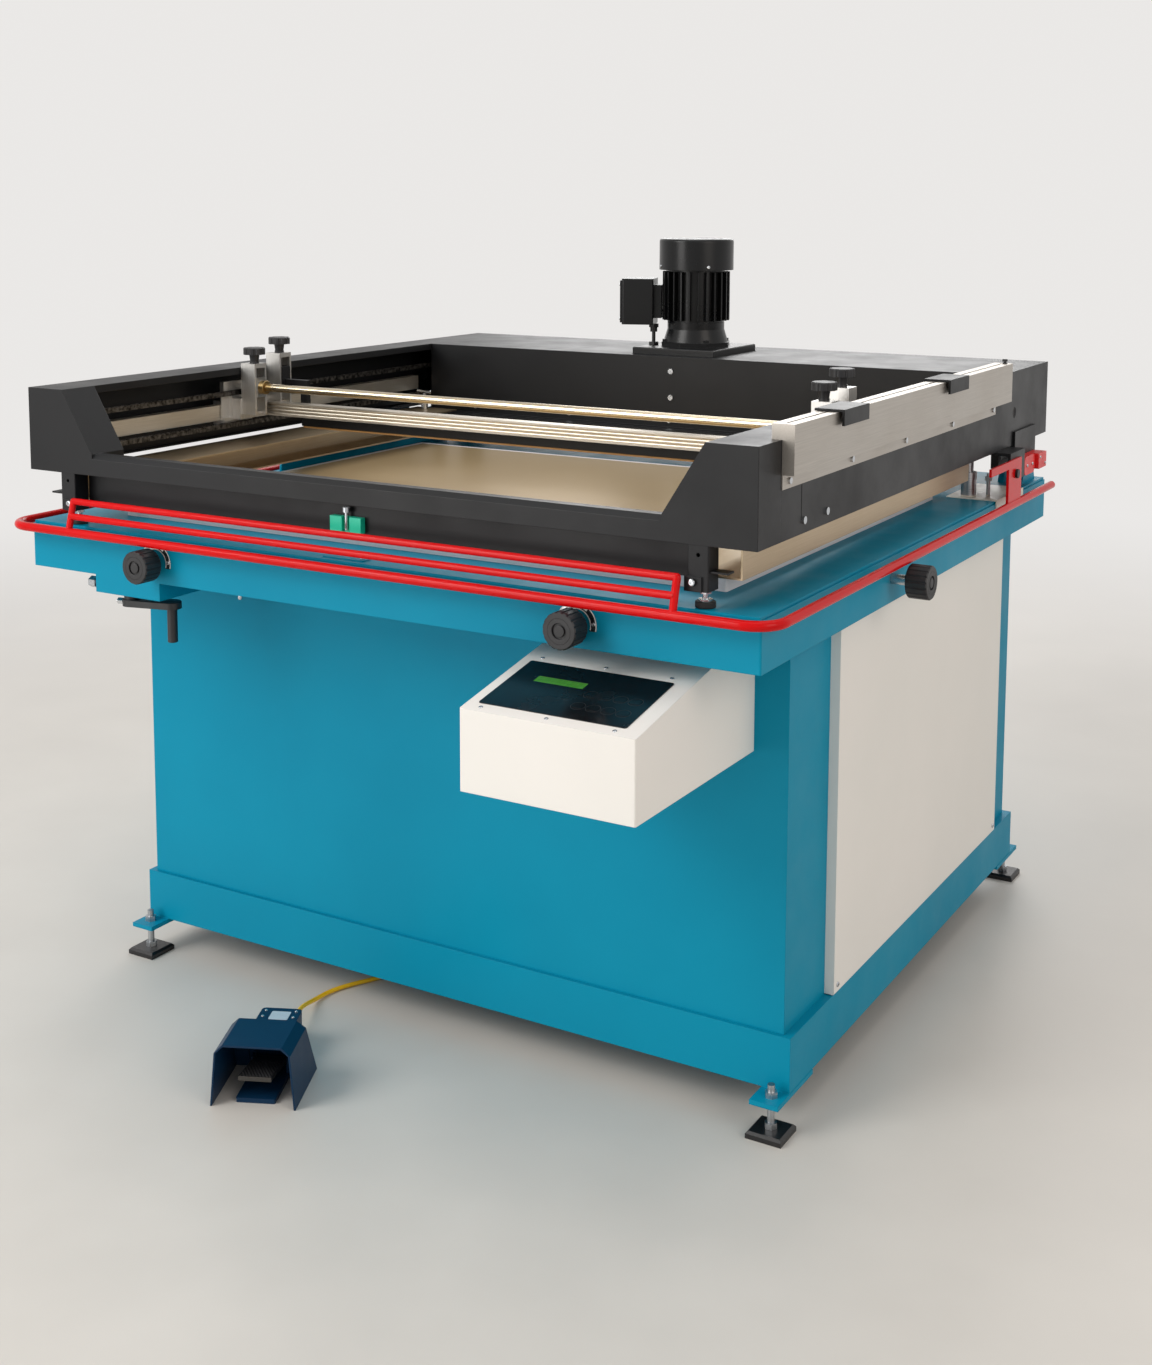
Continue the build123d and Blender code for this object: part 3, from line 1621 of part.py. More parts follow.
nodes = {
    "plinth": plinth() + foot_lugs(),
    "levelling_feet": group(foot_pads(), foot_studs()),
    "cabinet_shell": cabinet_shell(),
    "side_panel": side_panel(),
    "table_frame": group(table_frame() + slide_bars() + crank_block(), hinge_cheeks(),
                         left_cheek()),
    "table_plate": group(table_plate_sheet(), table_cover()),
    "knob_bushes": group(knob_bushes(), scale_plates()),
    "hinge_pins": hinge_pins(),
    "control_box": control_box(),
    "keypad": keypad(),
    "display_window": display_window(),
    "rear_rest": group(rest_plate(), rear_rest(), rest_collar()),
    "cross_slide": cross_slide(),
    "bed_rim": group(bed_posts(), bed_rim()),
    "bed_plate": bed_plate(),
    "register_knob_left": front_knob(-knob_x),
    "register_knob_right": front_knob(knob_x),
    "register_knob_side": side_knob(),
    "crank": crank(),
    "crank_grip": crank_grip(),
    "front_fascia": group(end_caps(), front_crossbar(), head_legs(), leg_brackets(),
                          front_rail()),
    "side_boxes": group(side_box(-1), side_box(1)),
    "rear_box": group(rear_box(), rear_rail()),
    "head_screws": group(head_screws(), clamp_bolt(), stop_bolts()),
    "stop_discs": stop_discs(),
    "head_brackets": group(hinge_lugs(), rail_hangers(), switch_plate()),
    "guide_bars": group(guide_bars(), idler_stubs()),
    "drive_shaft": drive_shaft(),
    "front_idlers": idler(-1) + idler(1),
    "drive_chains": drive_chains(),
    "gearbox": group(gearbox(), shaft_bearings()),
    "motor_body": motor_plate() + motor_adapter() + motor_body(),
    "motor_cowl": motor_cowl(),
    "terminal_box": terminal_box(),
    "motor_cable": group(motor_cable(), motor_gland()),
    "rail_cover": rail_cover(),
    "stroke_bracket_front": stroke_bracket(bracket_near),
    "stroke_bracket_rear": stroke_bracket(bracket_far),
    "front_clamp": front_clamp(),
    "screen_holder_left": screen_holder(-1),
    "screen_holder_right": screen_holder(1),
    "holder_clamp_left": holder_clamp(-1),
    "holder_clamp_right": holder_clamp(1),
    "carriage_sides": sliders() + carriage_plates() + upright_blocks(),
    "cross_beam": cross_beam(),
    "upper_rod": group(front_slides(), upper_rod(), rod_collars()),
    "squeegee_bar": group(rear_slides(), squeegee_bar()),
    "squeegee_blade": squeegee_blade(),
    "setting_knob_front_left": setting_knob(-1, front_block_y, front_block_top),
    "setting_knob_front_right": setting_knob(1, front_block_y, front_block_top),
    "setting_knob_rear_left": setting_knob(-1, rear_block_y, rear_block_top),
    "setting_knob_rear_right": setting_knob(1, rear_block_y, rear_block_top),
    "safety_rail": safety_rail(),
    "hinge_switch": hinge_switch(),
    "pedal_base": group(pedal_base(), treadle_pin_rod(), switch_box()),
    "pedal_hood": pedal_hood(),
    "treadle": treadle(),
    "cord_glands": group(pedal_gland(), cabinet_gland()),
    "pedal_cord": pedal_cord(),
}

# The origin is the middle of the footprint, measured without the cord
low = [0.0, 0.0, 0.0]
high = [0.0, 0.0, 0.0]
for name, shape in nodes.items():
    if name != "pedal_cord":
        box = shape.bounding_box()
        low = [min(a, b) for a, b in zip(low, box.min)]
        high = [max(a, b) for a, b in zip(high, box.max)]
shift = (-(low[0] + high[0]) / 2, -(low[1] + high[1]) / 2, -low[2])

for name, shape in nodes.items():
    export_step(Pos(*shift) * shape, os.path.join("parts", name + ".step"))

print(len(nodes), "nodes, shifted by", [round(value, 2) for value in shift])
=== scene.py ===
"""Finishes and fine detail for the screen printing press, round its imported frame."""

import math

import bmesh
import bpy
from mathutils import Matrix, Vector


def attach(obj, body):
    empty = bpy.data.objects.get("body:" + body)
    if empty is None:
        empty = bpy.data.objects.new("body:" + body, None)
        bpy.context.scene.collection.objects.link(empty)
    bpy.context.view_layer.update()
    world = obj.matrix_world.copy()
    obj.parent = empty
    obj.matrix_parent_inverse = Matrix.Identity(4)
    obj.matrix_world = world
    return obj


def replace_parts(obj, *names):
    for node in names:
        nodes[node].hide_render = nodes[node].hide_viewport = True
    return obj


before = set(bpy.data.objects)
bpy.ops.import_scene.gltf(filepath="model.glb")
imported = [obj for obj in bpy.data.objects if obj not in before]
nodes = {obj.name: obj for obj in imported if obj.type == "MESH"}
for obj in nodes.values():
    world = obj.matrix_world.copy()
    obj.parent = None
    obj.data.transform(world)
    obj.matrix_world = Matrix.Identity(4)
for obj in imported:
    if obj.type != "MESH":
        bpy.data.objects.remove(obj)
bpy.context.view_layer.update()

MM = 0.001
FULL_TURN = 2 * math.pi
# The part's source measures from the middle of the plinth's front edge. This is the
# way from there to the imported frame's origin, in millimetres.
SHIFT = Vector((-16.0, -421.85, 0.0))


def place(x, y, z):
    """A point of the part's source, in millimetres, as a point of the frame in metres."""
    return (Vector((x, y, z)) + SHIFT) * MM


def shade(colour):
    """An sRGB hex value as linear red, green, blue and alpha."""
    parts = [int(colour[i:i + 2], 16) / 255 for i in (1, 3, 5)]
    return [c / 12.92 if c <= 0.04045 else ((c + 0.055) / 1.055) ** 2.4 for c in parts] + [1.0]


def add(tree, kind, inputs=None, **settings):
    """Adds a shader node. Inputs are values, or outputs of other nodes to link from."""
    node = tree.nodes.new("ShaderNode" + kind)
    for name, value in settings.items():
        setattr(node, name, value)
    for socket, value in (inputs or {}).items():
        if isinstance(value, bpy.types.NodeSocket):
            tree.links.new(value, node.inputs[socket])
        else:
            node.inputs[socket].default_value = value
    return node


# Most values of a noise texture lie in its middle range.
MIDDLE = (0.3, 0.7)
WHOLE = (0.0, 1.0)
# Paint and plastic bend light about as much as glass does.
PLASTIC_IOR = 1.5


def finish_start(name, metallic, ior=None, **levels):
    """A new material with its shader set up, its tree and its Object coordinates.

    The further levels name sockets of the shader, with _ for each space.
    """
    made = bpy.data.materials.new(name)
    made.use_nodes = True
    tree = made.node_tree
    shader = tree.nodes["Principled BSDF"]
    shader.inputs["Metallic"].default_value = metallic
    if ior:
        shader.inputs["IOR"].default_value = ior
    for socket, value in levels.items():
        shader.inputs[socket.replace("_", " ")].default_value = value
    where = add(tree, "TexCoord").outputs["Object"]
    return made, tree, shader, where


def per_metre(length_mm):
    """How often a length in millimetres goes into a metre, which is a texture's scale."""
    return 1000.0 / length_mm


def noise(tree, where, scale, detail=2.0, roughness=0.5):
    """The output of a noise texture, with its scale in waves a metre."""
    return add(tree, "TexNoise", {"Vector": where, "Scale": scale, "Detail": detail,
                                  "Roughness": roughness}).outputs["Fac"]


def spread(tree, value, seen, wanted):
    """The output that takes one range of a value, as low and high, to another."""
    return add(tree, "MapRange", {"Value": value, "From Min": seen[0], "From Max": seen[1],
                                  "To Min": wanted[0], "To Max": wanted[1]}).outputs["Result"]


def blend(tree, share, low, high):
    """The output between two colours. A colour is a hex value or another output."""
    low, high = (shade(end) if isinstance(end, str) else end for end in (low, high))
    return add(tree, "Mix", {0: share, 6: low, 7: high}, data_type="RGBA").outputs[2]


def beyond(tree, value, limit):
    """The output that is 1 where a value is over a limit, and 0 elsewhere."""
    return add(tree, "Math", {0: value, 1: limit}, operation="GREATER_THAN").outputs[0]


def coordinate(tree, where, axis):
    """The output that holds a place's X, Y or Z."""
    return add(tree, "SeparateXYZ", {"Vector": where}).outputs[axis]


def set_colour(tree, shader, share, low, high):
    """Gives the shader a base colour between two colours."""
    tree.links.new(blend(tree, share, low, high), shader.inputs["Base Color"])


def set_roughness(tree, shader, value, seen, wanted):
    """Gives the shader a roughness that follows one range of a value."""
    tree.links.new(spread(tree, value, seen, wanted), shader.inputs["Roughness"])


def set_bump(tree, shader, height, strength, depth_mm, **more):
    """Gives the shader small bumps that follow a height."""
    bump = add(tree, "Bump", {"Height": height, "Strength": strength,
                              "Distance": depth_mm * MM, **more})
    tree.links.new(bump.outputs["Normal"], shader.inputs["Normal"])


# The radius that the highlight along a bent sheet's edge is drawn with.
EDGE_MM = 1.6


def powder_coat(name, colour, worn, grain_mm, depth_mm, rough, gloss):
    """Baked polyester powder coat: a soft sheen over a fine orange peel.

    The peel of the real paint is about 1 mm across, and is drawn a little wider.
    The worn colour is a touch lighter, in broad faint patches, as on wiped sheet metal.
    """
    made, tree, shader, where = finish_start(name, 0.0, PLASTIC_IOR, Specular_IOR_Level=gloss)
    patches = noise(tree, where, 2.6, 3.0)
    set_colour(tree, shader, spread(tree, patches, (0.38, 0.66), WHOLE), colour, worn)
    smears = noise(tree, where, 9.0, 5.0, 0.6)
    set_roughness(tree, shader, smears, (0.35, 0.7), (rough - 0.05, rough + 0.07))
    peel = noise(tree, where, per_metre(grain_mm))
    # Sheet metal is bent and not sharp: a thin highlight runs along its edges.
    edges = add(tree, "Bevel", {"Radius": EDGE_MM * MM}, samples=4).outputs["Normal"]
    set_bump(tree, shader, peel, 0.5, depth_mm, Normal=edges)
    return made


# How far a line of the brushed grain runs.
BRUSH_STROKE_MM = 90.0


def brushed(name, colour, bright, along, rough, line_mm=0.8, metallic=1.0):
    """Metal with a brushed grain: long fine lines along one axis, X, Y or Z.

    The lines of the real grain are about 0.1 mm wide, and are drawn 0.8 mm wide
    or more so that they show. The grain also breaks up the reflections.
    """
    made, tree, shader, where = finish_start(name, metallic)
    scale = [per_metre(BRUSH_STROKE_MM if axis == along else line_mm) for axis in "XYZ"]
    stretched = add(tree, "Mapping", {"Vector": where, "Scale": scale}).outputs["Vector"]
    grain = noise(tree, stretched, 1.0, 3.0, 0.7)
    set_colour(tree, shader, spread(tree, grain, MIDDLE, WHOLE), colour, bright)
    clouds = noise(tree, where, 7.0, 4.0)
    fine = spread(tree, grain, MIDDLE, (-0.05, 0.05))
    broad = spread(tree, clouds, MIDDLE, (rough - 0.05, rough + 0.06))
    tree.links.new(add(tree, "Math", {0: fine, 1: broad}).outputs[0], shader.inputs["Roughness"])
    set_bump(tree, shader, grain, 0.15, 0.02)
    return made


def moulded(name, colour, worn, rough, grain_mm=1.5):
    """Moulded or cast surface with a fine even grain, lighter where it is handled."""
    made, tree, shader, where = finish_start(name, 0.0, PLASTIC_IOR)
    hands = noise(tree, where, 22.0, 3.0)
    set_colour(tree, shader, spread(tree, hands, (0.4, 0.7), WHOLE), colour, worn)
    set_roughness(tree, shader, hands, MIDDLE, (rough + 0.06, rough - 0.06))
    set_bump(tree, shader, noise(tree, where, per_metre(grain_mm)), 0.4, 0.08)
    return made


def polished(name, colour, tint, rough, metallic=1.0):
    """Bright plate or an even satin face, with faint broad clouds from handling."""
    made, tree, shader, where = finish_start(name, metallic)
    clouds = noise(tree, where, 4.0, 1.0)
    nearly_whole = (0.1, 0.9)
    set_colour(tree, shader, spread(tree, clouds, nearly_whole, WHOLE), colour, tint)
    set_roughness(tree, shader, clouds, nearly_whole, (rough, rough + 0.08))
    return made


# Powder coats and enamels: name, colour, worn colour, grain and depth of the peel in
# millimetres, roughness and gloss.
teal_coat = powder_coat("teal_powder_coat", "#0083A2", "#0289A8", 2.2, 0.05, 0.42, 0.12)
cream_coat = powder_coat("cream_powder_coat", "#E4E2DD", "#E8E5E0", 2.2, 0.05, 0.42, 0.3)
# The head's black paint has a coarser, drier texture than the cabinet's.
black_coat = powder_coat("black_textured_powder_coat", "#0C0D0F", "#121316", 1.6, 0.09, 0.44, 0.3)
navy_coat = powder_coat("navy_powder_coat", "#092B47", "#0D314F", 1.8, 0.06, 0.38, 0.2)
# The rail's red enamel and the motor's black one lie smoother than the powder coats.
red_enamel = powder_coat("red_gloss_enamel", "#C3060A", "#CC0B0F", 6.0, 0.01, 0.20, 0.14)
black_enamel = powder_coat("black_machine_enamel", "#08090A", "#0D0E10", 2.0, 0.10, 0.30, 0.3)

# Sheet, bars and sections: name, colour, bright colour, the axis of the grain,
# roughness, and at need the grain's width in millimetres and how metallic it is.
stainless = brushed("brushed_stainless_sheet", "#A8A29A", "#BDB7AF", "Y", 0.44)
champagne_sheet = brushed("champagne_anodised_sheet", "#B7A488", "#C6B498", "Y", 0.40, 1.2)
ground_bar = brushed("ground_steel_bar", "#C2BBAE", "#DAD3C6", "Y", 0.44)
milled_steel = brushed("milled_steel_block", "#C4C2BE", "#DCDAD6", "Z", 0.40)
drawn_aluminium = brushed("drawn_aluminium_section", "#B3AB9E", "#C9C1B4", "X", 0.36, 1.2)
# The bed's rim and the pedal's plate look nearly as pale as paint, so they are drawn
# as metal only in part.
rim_aluminium = brushed("milled_aluminium_rim", "#E6E2E4", "#F2EFF2", "Y", 0.46, 1.2, 0.12)
blank_plate = brushed("plain_aluminium_plate", "#C9D0D6", "#E2E6EA", "X", 0.36, 0.8, 0.35)
lip_steel = brushed("worn_lip_steel", "#4A4846", "#5E5C59", "X", 0.42)

# Even faces: name, colour, tint, roughness, and how metallic they are. The anodised bed
# is a satin face that mirrors the head in soft patches.
bed_anodised = polished("champagne_anodised_bed", "#B89F76", "#BEA67F", 0.26, 0.3)
zinc = polished("bright_zinc_plate", "#C6C8CA", "#AEB3B8", 0.20)

# Castings, plastics and rubber: name, colour, worn colour, roughness, grain.
cast_iron = moulded("painted_iron_casting", "#131416", "#1C1D20", 0.42, 2.4)
black_nylon = moulded("black_nylon", "#151517", "#232326", 0.48)
green_nylon = moulded("green_acetal", "#0BBB96", "#14C6A0", 0.40)
red_plastic = moulded("red_switch_plastic", "#D01416", "#DE1D1E", 0.34)
black_rubber = moulded("black_rubber", "#101011", "#1B1B1C", 0.66)
blade_rubber = moulded("polyurethane_blade", "#B88A50", "#C2955B", 0.42)
worn_tread = moulded("worn_rubber_tread", "#1D1D1F", "#3A3A3B", 0.5)
# Polyester film over the keys: smooth, with a soft shine. The keys' outlines are ink.
key_film = moulded("black_key_film", "#0B0C0E", "#101114", 0.24, 3.0)
key_line = moulded("grey_key_outline_ink", "#2B2E31", "#34373A", 0.34, 3.0)
white_ink = moulded("white_scale_ink", "#EDEDEA", "#E2E2DF", 0.45)
# The dark of an open joint between two sheets, for the head's joint lines.
dark_gap = moulded("open_joint_shadow", "#030303", "#050505", 0.9)


def chain_steel():
    """Oiled steel of the roller chains: dark plates with brighter rubbed sides."""
    made, tree, shader, where = finish_start("oiled_chain_steel", 1.0)
    oil = noise(tree, where, 120.0, 4.0)
    set_colour(tree, shader, spread(tree, oil, (0.35, 0.65), WHOLE), "#2C2A28", "#6D6A66")
    set_roughness(tree, shader, oil, MIDDLE, (0.28, 0.5))
    return made


def cord_sheath():
    """Yellow polyurethane cable sheath: smooth, with a soft shine and a slight ripple."""
    made, tree, shader, where = finish_start("yellow_cable_sheath", 0.0, PLASTIC_IOR)
    ripple = noise(tree, where, 160.0)
    set_colour(tree, shader, spread(tree, ripple, MIDDLE, WHOLE), "#F2BE10", "#F8CB24")
    set_roughness(tree, shader, ripple, MIDDLE, (0.36, 0.46))
    set_bump(tree, shader, ripple, 0.2, 0.1)
    return made


def display_glow():
    """Backlit green display behind its lens, with the faint grid of its cells.

    A cell is 4.5 mm wide and 7.5 mm high.
    """
    made, tree, shader, where = finish_start(
        "green_backlit_display", 0.0, PLASTIC_IOR, Coat_Weight=0.6, Coat_Roughness=0.05,
        Roughness=0.25, Emission_Strength=0.19)
    cells = add(tree, "TexBrick", {"Vector": where, "Color1": shade("#3F8022"),
                                   "Color2": shade("#47882A"), "Mortar": shade("#36731B"),
                                   "Scale": 1.0, "Mortar Size": 0.3 * MM,
                                   "Brick Width": 4.5 * MM, "Row Height": 7.5 * MM},
                offset=0.0).outputs["Color"]
    tree.links.new(cells, shader.inputs["Base Color"])
    tree.links.new(cells, shader.inputs["Emission Color"])
    return made


# The rear rest's plate ends below this height, in millimetres above the floor.
REST_PLATE_TOP = 899.2


def rest_finish():
    """Rear rest: a cream plate below, and a turned steel post and collar above it."""
    made, tree, shader, where = finish_start("cream_plate_and_turned_steel", 0.0)
    steel = beyond(tree, coordinate(tree, where, "Z"), REST_PLATE_TOP * MM)
    # Turning marks are fine rings up the post.
    rings = add(tree, "Mapping", {"Vector": where, "Scale": [40.0, 40.0, 1600.0]})
    turning = noise(tree, rings.outputs["Vector"], 1.0)
    metal = blend(tree, turning, "#8F9093", "#C2C3C5")
    set_colour(tree, shader, steel, "#E3DED2", metal)
    tree.links.new(steel, shader.inputs["Metallic"])
    set_roughness(tree, shader, turning, MIDDLE, (0.26, 0.42))
    return made


# The feet's pads end below this height, in millimetres above the floor.
PAD_TOP = 12.3
# A wave texture turns by 20 radians in a metre at scale 1, so this scale gives the
# studs' threads a pitch of about 2 mm.
THREAD_SCALE = 1000.0 / FULL_TURN


def feet_finish():
    """Levelling feet: zinc-plated studs and nuts on black enamelled pads, with painted shade and
    painted highlight in the studs' threads.
    """
    made, tree, shader, where = finish_start("zinc_studs_and_black_pads", 0.0)
    stud = beyond(tree, coordinate(tree, where, "Z"), PAD_TOP * MM)
    # The threads are drawn as dark and light bands of colour: painted shade in their grooves and a
    # painted highlight on their crests.
    thread_shade_bands = add(tree, "TexWave", {"Vector": where, "Scale": THREAD_SCALE, "Distortion": 0.0},
                 bands_direction="Z").outputs["Fac"]
    metal = blend(tree, thread_shade_bands, "#8C9094", "#C9CCCF")
    set_colour(tree, shader, stud, "#121214", metal)
    tree.links.new(stud, shader.inputs["Metallic"])
    set_roughness(tree, shader, noise(tree, where, 300.0), MIDDLE, (0.28, 0.42))
    return made


# The rod's collars and slides begin this far from its middle, in metres.
COLLAR_REACH, SLIDE_REACH = 572 * MM, 600 * MM


def rod_finish():
    """Upper rod: hard chrome between the milled slides at its ends, with brass collars."""
    made, tree, shader, where = finish_start("chromed_rod_with_collars", 1.0)
    centred = add(tree, "Math", {0: coordinate(tree, where, "X"), 1: SHIFT.x * MM},
                  operation="SUBTRACT").outputs[0]
    reach = add(tree, "Math", {0: centred}, operation="ABSOLUTE").outputs[0]
    rod = blend(tree, noise(tree, where, 12.0, 4.0), "#CBBFA8", "#BBAD92")
    with_collar = blend(tree, beyond(tree, reach, COLLAR_REACH), rod, "#9A835A")
    set_colour(tree, shader, beyond(tree, reach, SLIDE_REACH), with_collar, "#BDBCB8")
    set_roughness(tree, shader, reach, (COLLAR_REACH - MM, COLLAR_REACH + MM), (0.20, 0.32))
    return made


rest_material = rest_finish()
feet_material = feet_finish()
rod_material = rod_finish()
chain_material = chain_steel()
sheath = cord_sheath()
display_material = display_glow()

node_finish = {
    "plinth": teal_coat, "cabinet_shell": teal_coat, "table_frame": teal_coat,
    "table_plate": teal_coat, "side_panel": cream_coat, "control_box": cream_coat,
    "levelling_feet": feet_material, "rear_rest": rest_material,
    "knob_bushes": zinc, "hinge_pins": zinc, "keypad": key_film,
    "display_window": display_material, "cross_slide": milled_steel,
    "bed_rim": rim_aluminium, "bed_plate": bed_anodised,
    "register_knob_left": black_nylon, "register_knob_right": black_nylon,
    "register_knob_side": black_nylon, "crank": cast_iron, "crank_grip": black_nylon,
    "front_fascia": black_coat, "side_boxes": black_coat, "rear_box": black_coat,
    "head_screws": zinc, "stop_discs": black_rubber, "head_brackets": black_coat,
    "guide_bars": ground_bar, "drive_shaft": milled_steel, "front_idlers": milled_steel,
    "drive_chains": chain_material, "gearbox": cast_iron, "motor_body": black_enamel,
    "motor_cowl": black_enamel, "terminal_box": black_enamel, "motor_cable": black_nylon,
    "rail_cover": stainless, "stroke_bracket_front": black_coat,
    "stroke_bracket_rear": black_coat, "front_clamp": green_nylon,
    "screen_holder_left": champagne_sheet, "screen_holder_right": champagne_sheet,
    "holder_clamp_left": zinc, "holder_clamp_right": zinc,
    "carriage_sides": milled_steel, "cross_beam": drawn_aluminium,
    "upper_rod": rod_material, "squeegee_bar": black_coat, "squeegee_blade": blade_rubber,
    "setting_knob_front_left": black_nylon, "setting_knob_front_right": black_nylon,
    "setting_knob_rear_left": black_nylon, "setting_knob_rear_right": black_nylon,
    "safety_rail": red_enamel, "hinge_switch": red_plastic, "pedal_base": navy_coat,
    "pedal_hood": navy_coat, "treadle": cast_iron, "cord_glands": black_nylon,
    "pedal_cord": sheath,
}
for node_name, material in node_finish.items():
    holder = nodes[node_name].data.materials
    holder.clear()
    holder.append(material)


def new_object(name, data):
    """A new object that shows its data in the scene."""
    made = bpy.data.objects.new(name, data)
    bpy.context.scene.collection.objects.link(made)
    return made


# Corners that lie closer than this are one corner.
MERGE_MM = 0.0005


def piece(name, mesh, material, body):
    """Turns a bmesh in millimetres into a finished object that rides on a body."""
    bmesh.ops.remove_doubles(mesh, verts=mesh.verts, dist=MERGE_MM)
    bmesh.ops.recalc_face_normals(mesh, faces=mesh.faces)
    mesh.transform(Matrix.Scale(MM, 4) @ Matrix.Translation(SHIFT))
    data = bpy.data.meshes.new(name)
    mesh.to_mesh(data)
    mesh.free()
    data.materials.append(material)
    made = new_object(name, data)
    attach(made, body)
    return made


# The pedal's cord, from the pedal's gland to the gland in the cabinet's floor. It lies
# on the floor between them, and goes up into the cabinet behind the plinth.
cord_route = [
    (-198.775, -157.983, 30), (-214.473, -123.377, 30), (-233, -80, 20), (-247, -37, 7),
    (-249, 8, 4.4), (-233, 50, 5), (-206, 97, 4.6), (-183, 150, 5.4), (-157, 203, 4.8),
    (-139, 258, 12), (-129, 304, 34), (-125, 332, 66), (-125, 340, 104), (-125, 340, 142),
]
CORD_RADIUS = 4.0
cord_line = bpy.data.curves.new("pedal_lead", "CURVE")
cord_line.dimensions = "3D"
run = cord_line.splines.new("NURBS")
run.points.add(len(cord_route) - 1)
for point, spot in zip(run.points, cord_route):
    point.co = (*place(*spot), 1.0)
run.order_u = 3
run.use_endpoint_u = True
run.resolution_u = 12
cord_line.bevel_depth = CORD_RADIUS * MM
cord_line.bevel_resolution = 6
cord_line.use_fill_caps = True
cord_line.materials.append(sheath)
lead = new_object("pedal_lead", cord_line)
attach(lead, "base")
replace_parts(lead, "pedal_cord")

UP, RIGHT, LEFT, TOWARDS_FRONT = (0, 0, 1), (1, 0, 0), (-1, 0, 0), (0, -1, 0)


def made_since(mesh, count):
    """The vertices of a bmesh that were made after its first `count`."""
    mesh.verts.ensure_lookup_table()
    return mesh.verts[count:]


def pointing(spot, out, turn=0.0):
    """The matrix that takes the origin to a spot, with Z pointing out there."""
    tilt = Vector(UP).rotation_difference(Vector(out)).to_matrix().to_4x4()
    return Matrix.Translation(spot) @ tilt @ Matrix.Rotation(turn, 4, "Z")


def set_down(mesh, count, spot, out, turn=0.0):
    """Moves what was made after the first `count` vertices: its Z points out at a spot."""
    bmesh.ops.transform(mesh, matrix=pointing(spot, out, turn), verts=made_since(mesh, count))


def turn_outline(mesh, outline, closed=True, angle=FULL_TURN, steps=40, start=0.0):
    """Spins an outline of radius and height about Z, and closes the ends of an arc."""
    corners = [mesh.verts.new((r * math.cos(start), r * math.sin(start), h))
               for r, h in outline]
    edges = [mesh.edges.new(pair) for pair in zip(corners, corners[1:])]
    if closed:
        edges.append(mesh.edges.new((corners[-1], corners[0])))
    full = angle == FULL_TURN
    bmesh.ops.spin(mesh, geom=corners + edges, cent=(0, 0, 0), axis=UP, angle=angle,
                   steps=steps, use_merge=full, use_duplicate=False)
    if not full:
        bmesh.ops.holes_fill(mesh, edges=[e for e in mesh.edges if e.is_boundary], sides=0)


def button_screw(mesh, spot, out, radius, height):
    """A domed screw head with a socket, that stands on a surface."""
    count = len(mesh.verts)
    socket = radius * 0.42
    turn_outline(mesh, [(0, height * 0.45), (socket, height * 0.45), (socket, height),
                        (radius * 0.7, height), (radius * 0.93, height * 0.72),
                        (radius, height * 0.3), (radius, 0), (0, 0)], closed=False, steps=18)
    set_down(mesh, count, spot, out)


def hex_nut(mesh, spot, out, radius, height, turn=0.0):
    """A hexagon nut on a surface, with the round end of its screw above it."""
    stud, end = radius * 0.5, height + 3.0
    for outline, steps in (([(0, 0), (radius, 0), (radius, height), (0, height)], 6),
                           ([(0, height), (stud, height), (stud, end), (0, end)], 16)):
        count = len(mesh.verts)
        turn_outline(mesh, outline, closed=False, steps=steps)
        set_down(mesh, count, spot, out, turn)


def rounded_box(mesh, size, axis, corner, steps, matrix):
    """A box put in place by a matrix, with its edges along one of its axes rounded.

    It is moved before it is rounded, because rounding mixes up the vertices' order.
    """
    box = bmesh.ops.create_cube(mesh, size=1.0)["verts"]
    bmesh.ops.scale(mesh, vec=size, verts=box)
    edges = dict.fromkeys(e for v in box for e in v.link_edges
                          if abs(e.verts[0].co[axis] - e.verts[1].co[axis]) > size[axis] / 2)
    bmesh.ops.transform(mesh, matrix=matrix, verts=box)
    bmesh.ops.bevel(mesh, geom=list(edges), offset=corner, segments=steps, profile=0.5,
                    affect="EDGES", material=-1)


def rounded_plate(mesh, size, corner, spot, out):
    """A flat plate with rounded corners, its underside on a surface."""
    lift = Matrix.Translation((0, 0, size[2] / 2))
    rounded_box(mesh, size, 2, corner, 4, pointing(spot, out) @ lift)


# Roller chains. A link is 12.7 mm long. The links stand at rest, as the CAD loops do,
# and fill the same track round the sprockets.
CHAIN_X, SHAFT_Y, IDLER_Y, SHAFT_Z = 655.5, 1004.5, -188.0, 1057.5
CHAIN_RADIUS = 32.55
REACH = SHAFT_Y - IDLER_Y
ARC = math.pi * CHAIN_RADIUS
LOOP = 2 * (REACH + ARC)
LINKS = 204
# Side plates of a link, and how far out they lie in an outer and in an inner link.
PLATE_THICK, PLATE_LENGTH, PLATE_HEIGHT, PLATE_CORNER = 0.45, 21.0, 9.4, 4.0
OUTER_PLATE, INNER_PLATE = 5.05, 4.55
HALF_PITCH, ROLLER_RADIUS, ROLLER_WIDTH = 6.35, 3.6, 9.0


def chain_place(along):
    """Place and slope of the chain's line at a distance along it, as Y, Z and angle."""
    along %= LOOP
    if along < REACH:
        return IDLER_Y + along, SHAFT_Z + CHAIN_RADIUS, 0.0
    if along < REACH + ARC:
        turned = (along - REACH) / CHAIN_RADIUS
        return (SHAFT_Y + CHAIN_RADIUS * math.sin(turned),
                SHAFT_Z + CHAIN_RADIUS * math.cos(turned), -turned)
    if along < 2 * REACH + ARC:
        return SHAFT_Y - (along - REACH - ARC), SHAFT_Z - CHAIN_RADIUS, math.pi
    turned = (along - 2 * REACH - ARC) / CHAIN_RADIUS
    return (IDLER_Y - CHAIN_RADIUS * math.sin(turned),
            SHAFT_Z - CHAIN_RADIUS * math.cos(turned), math.pi - turned)


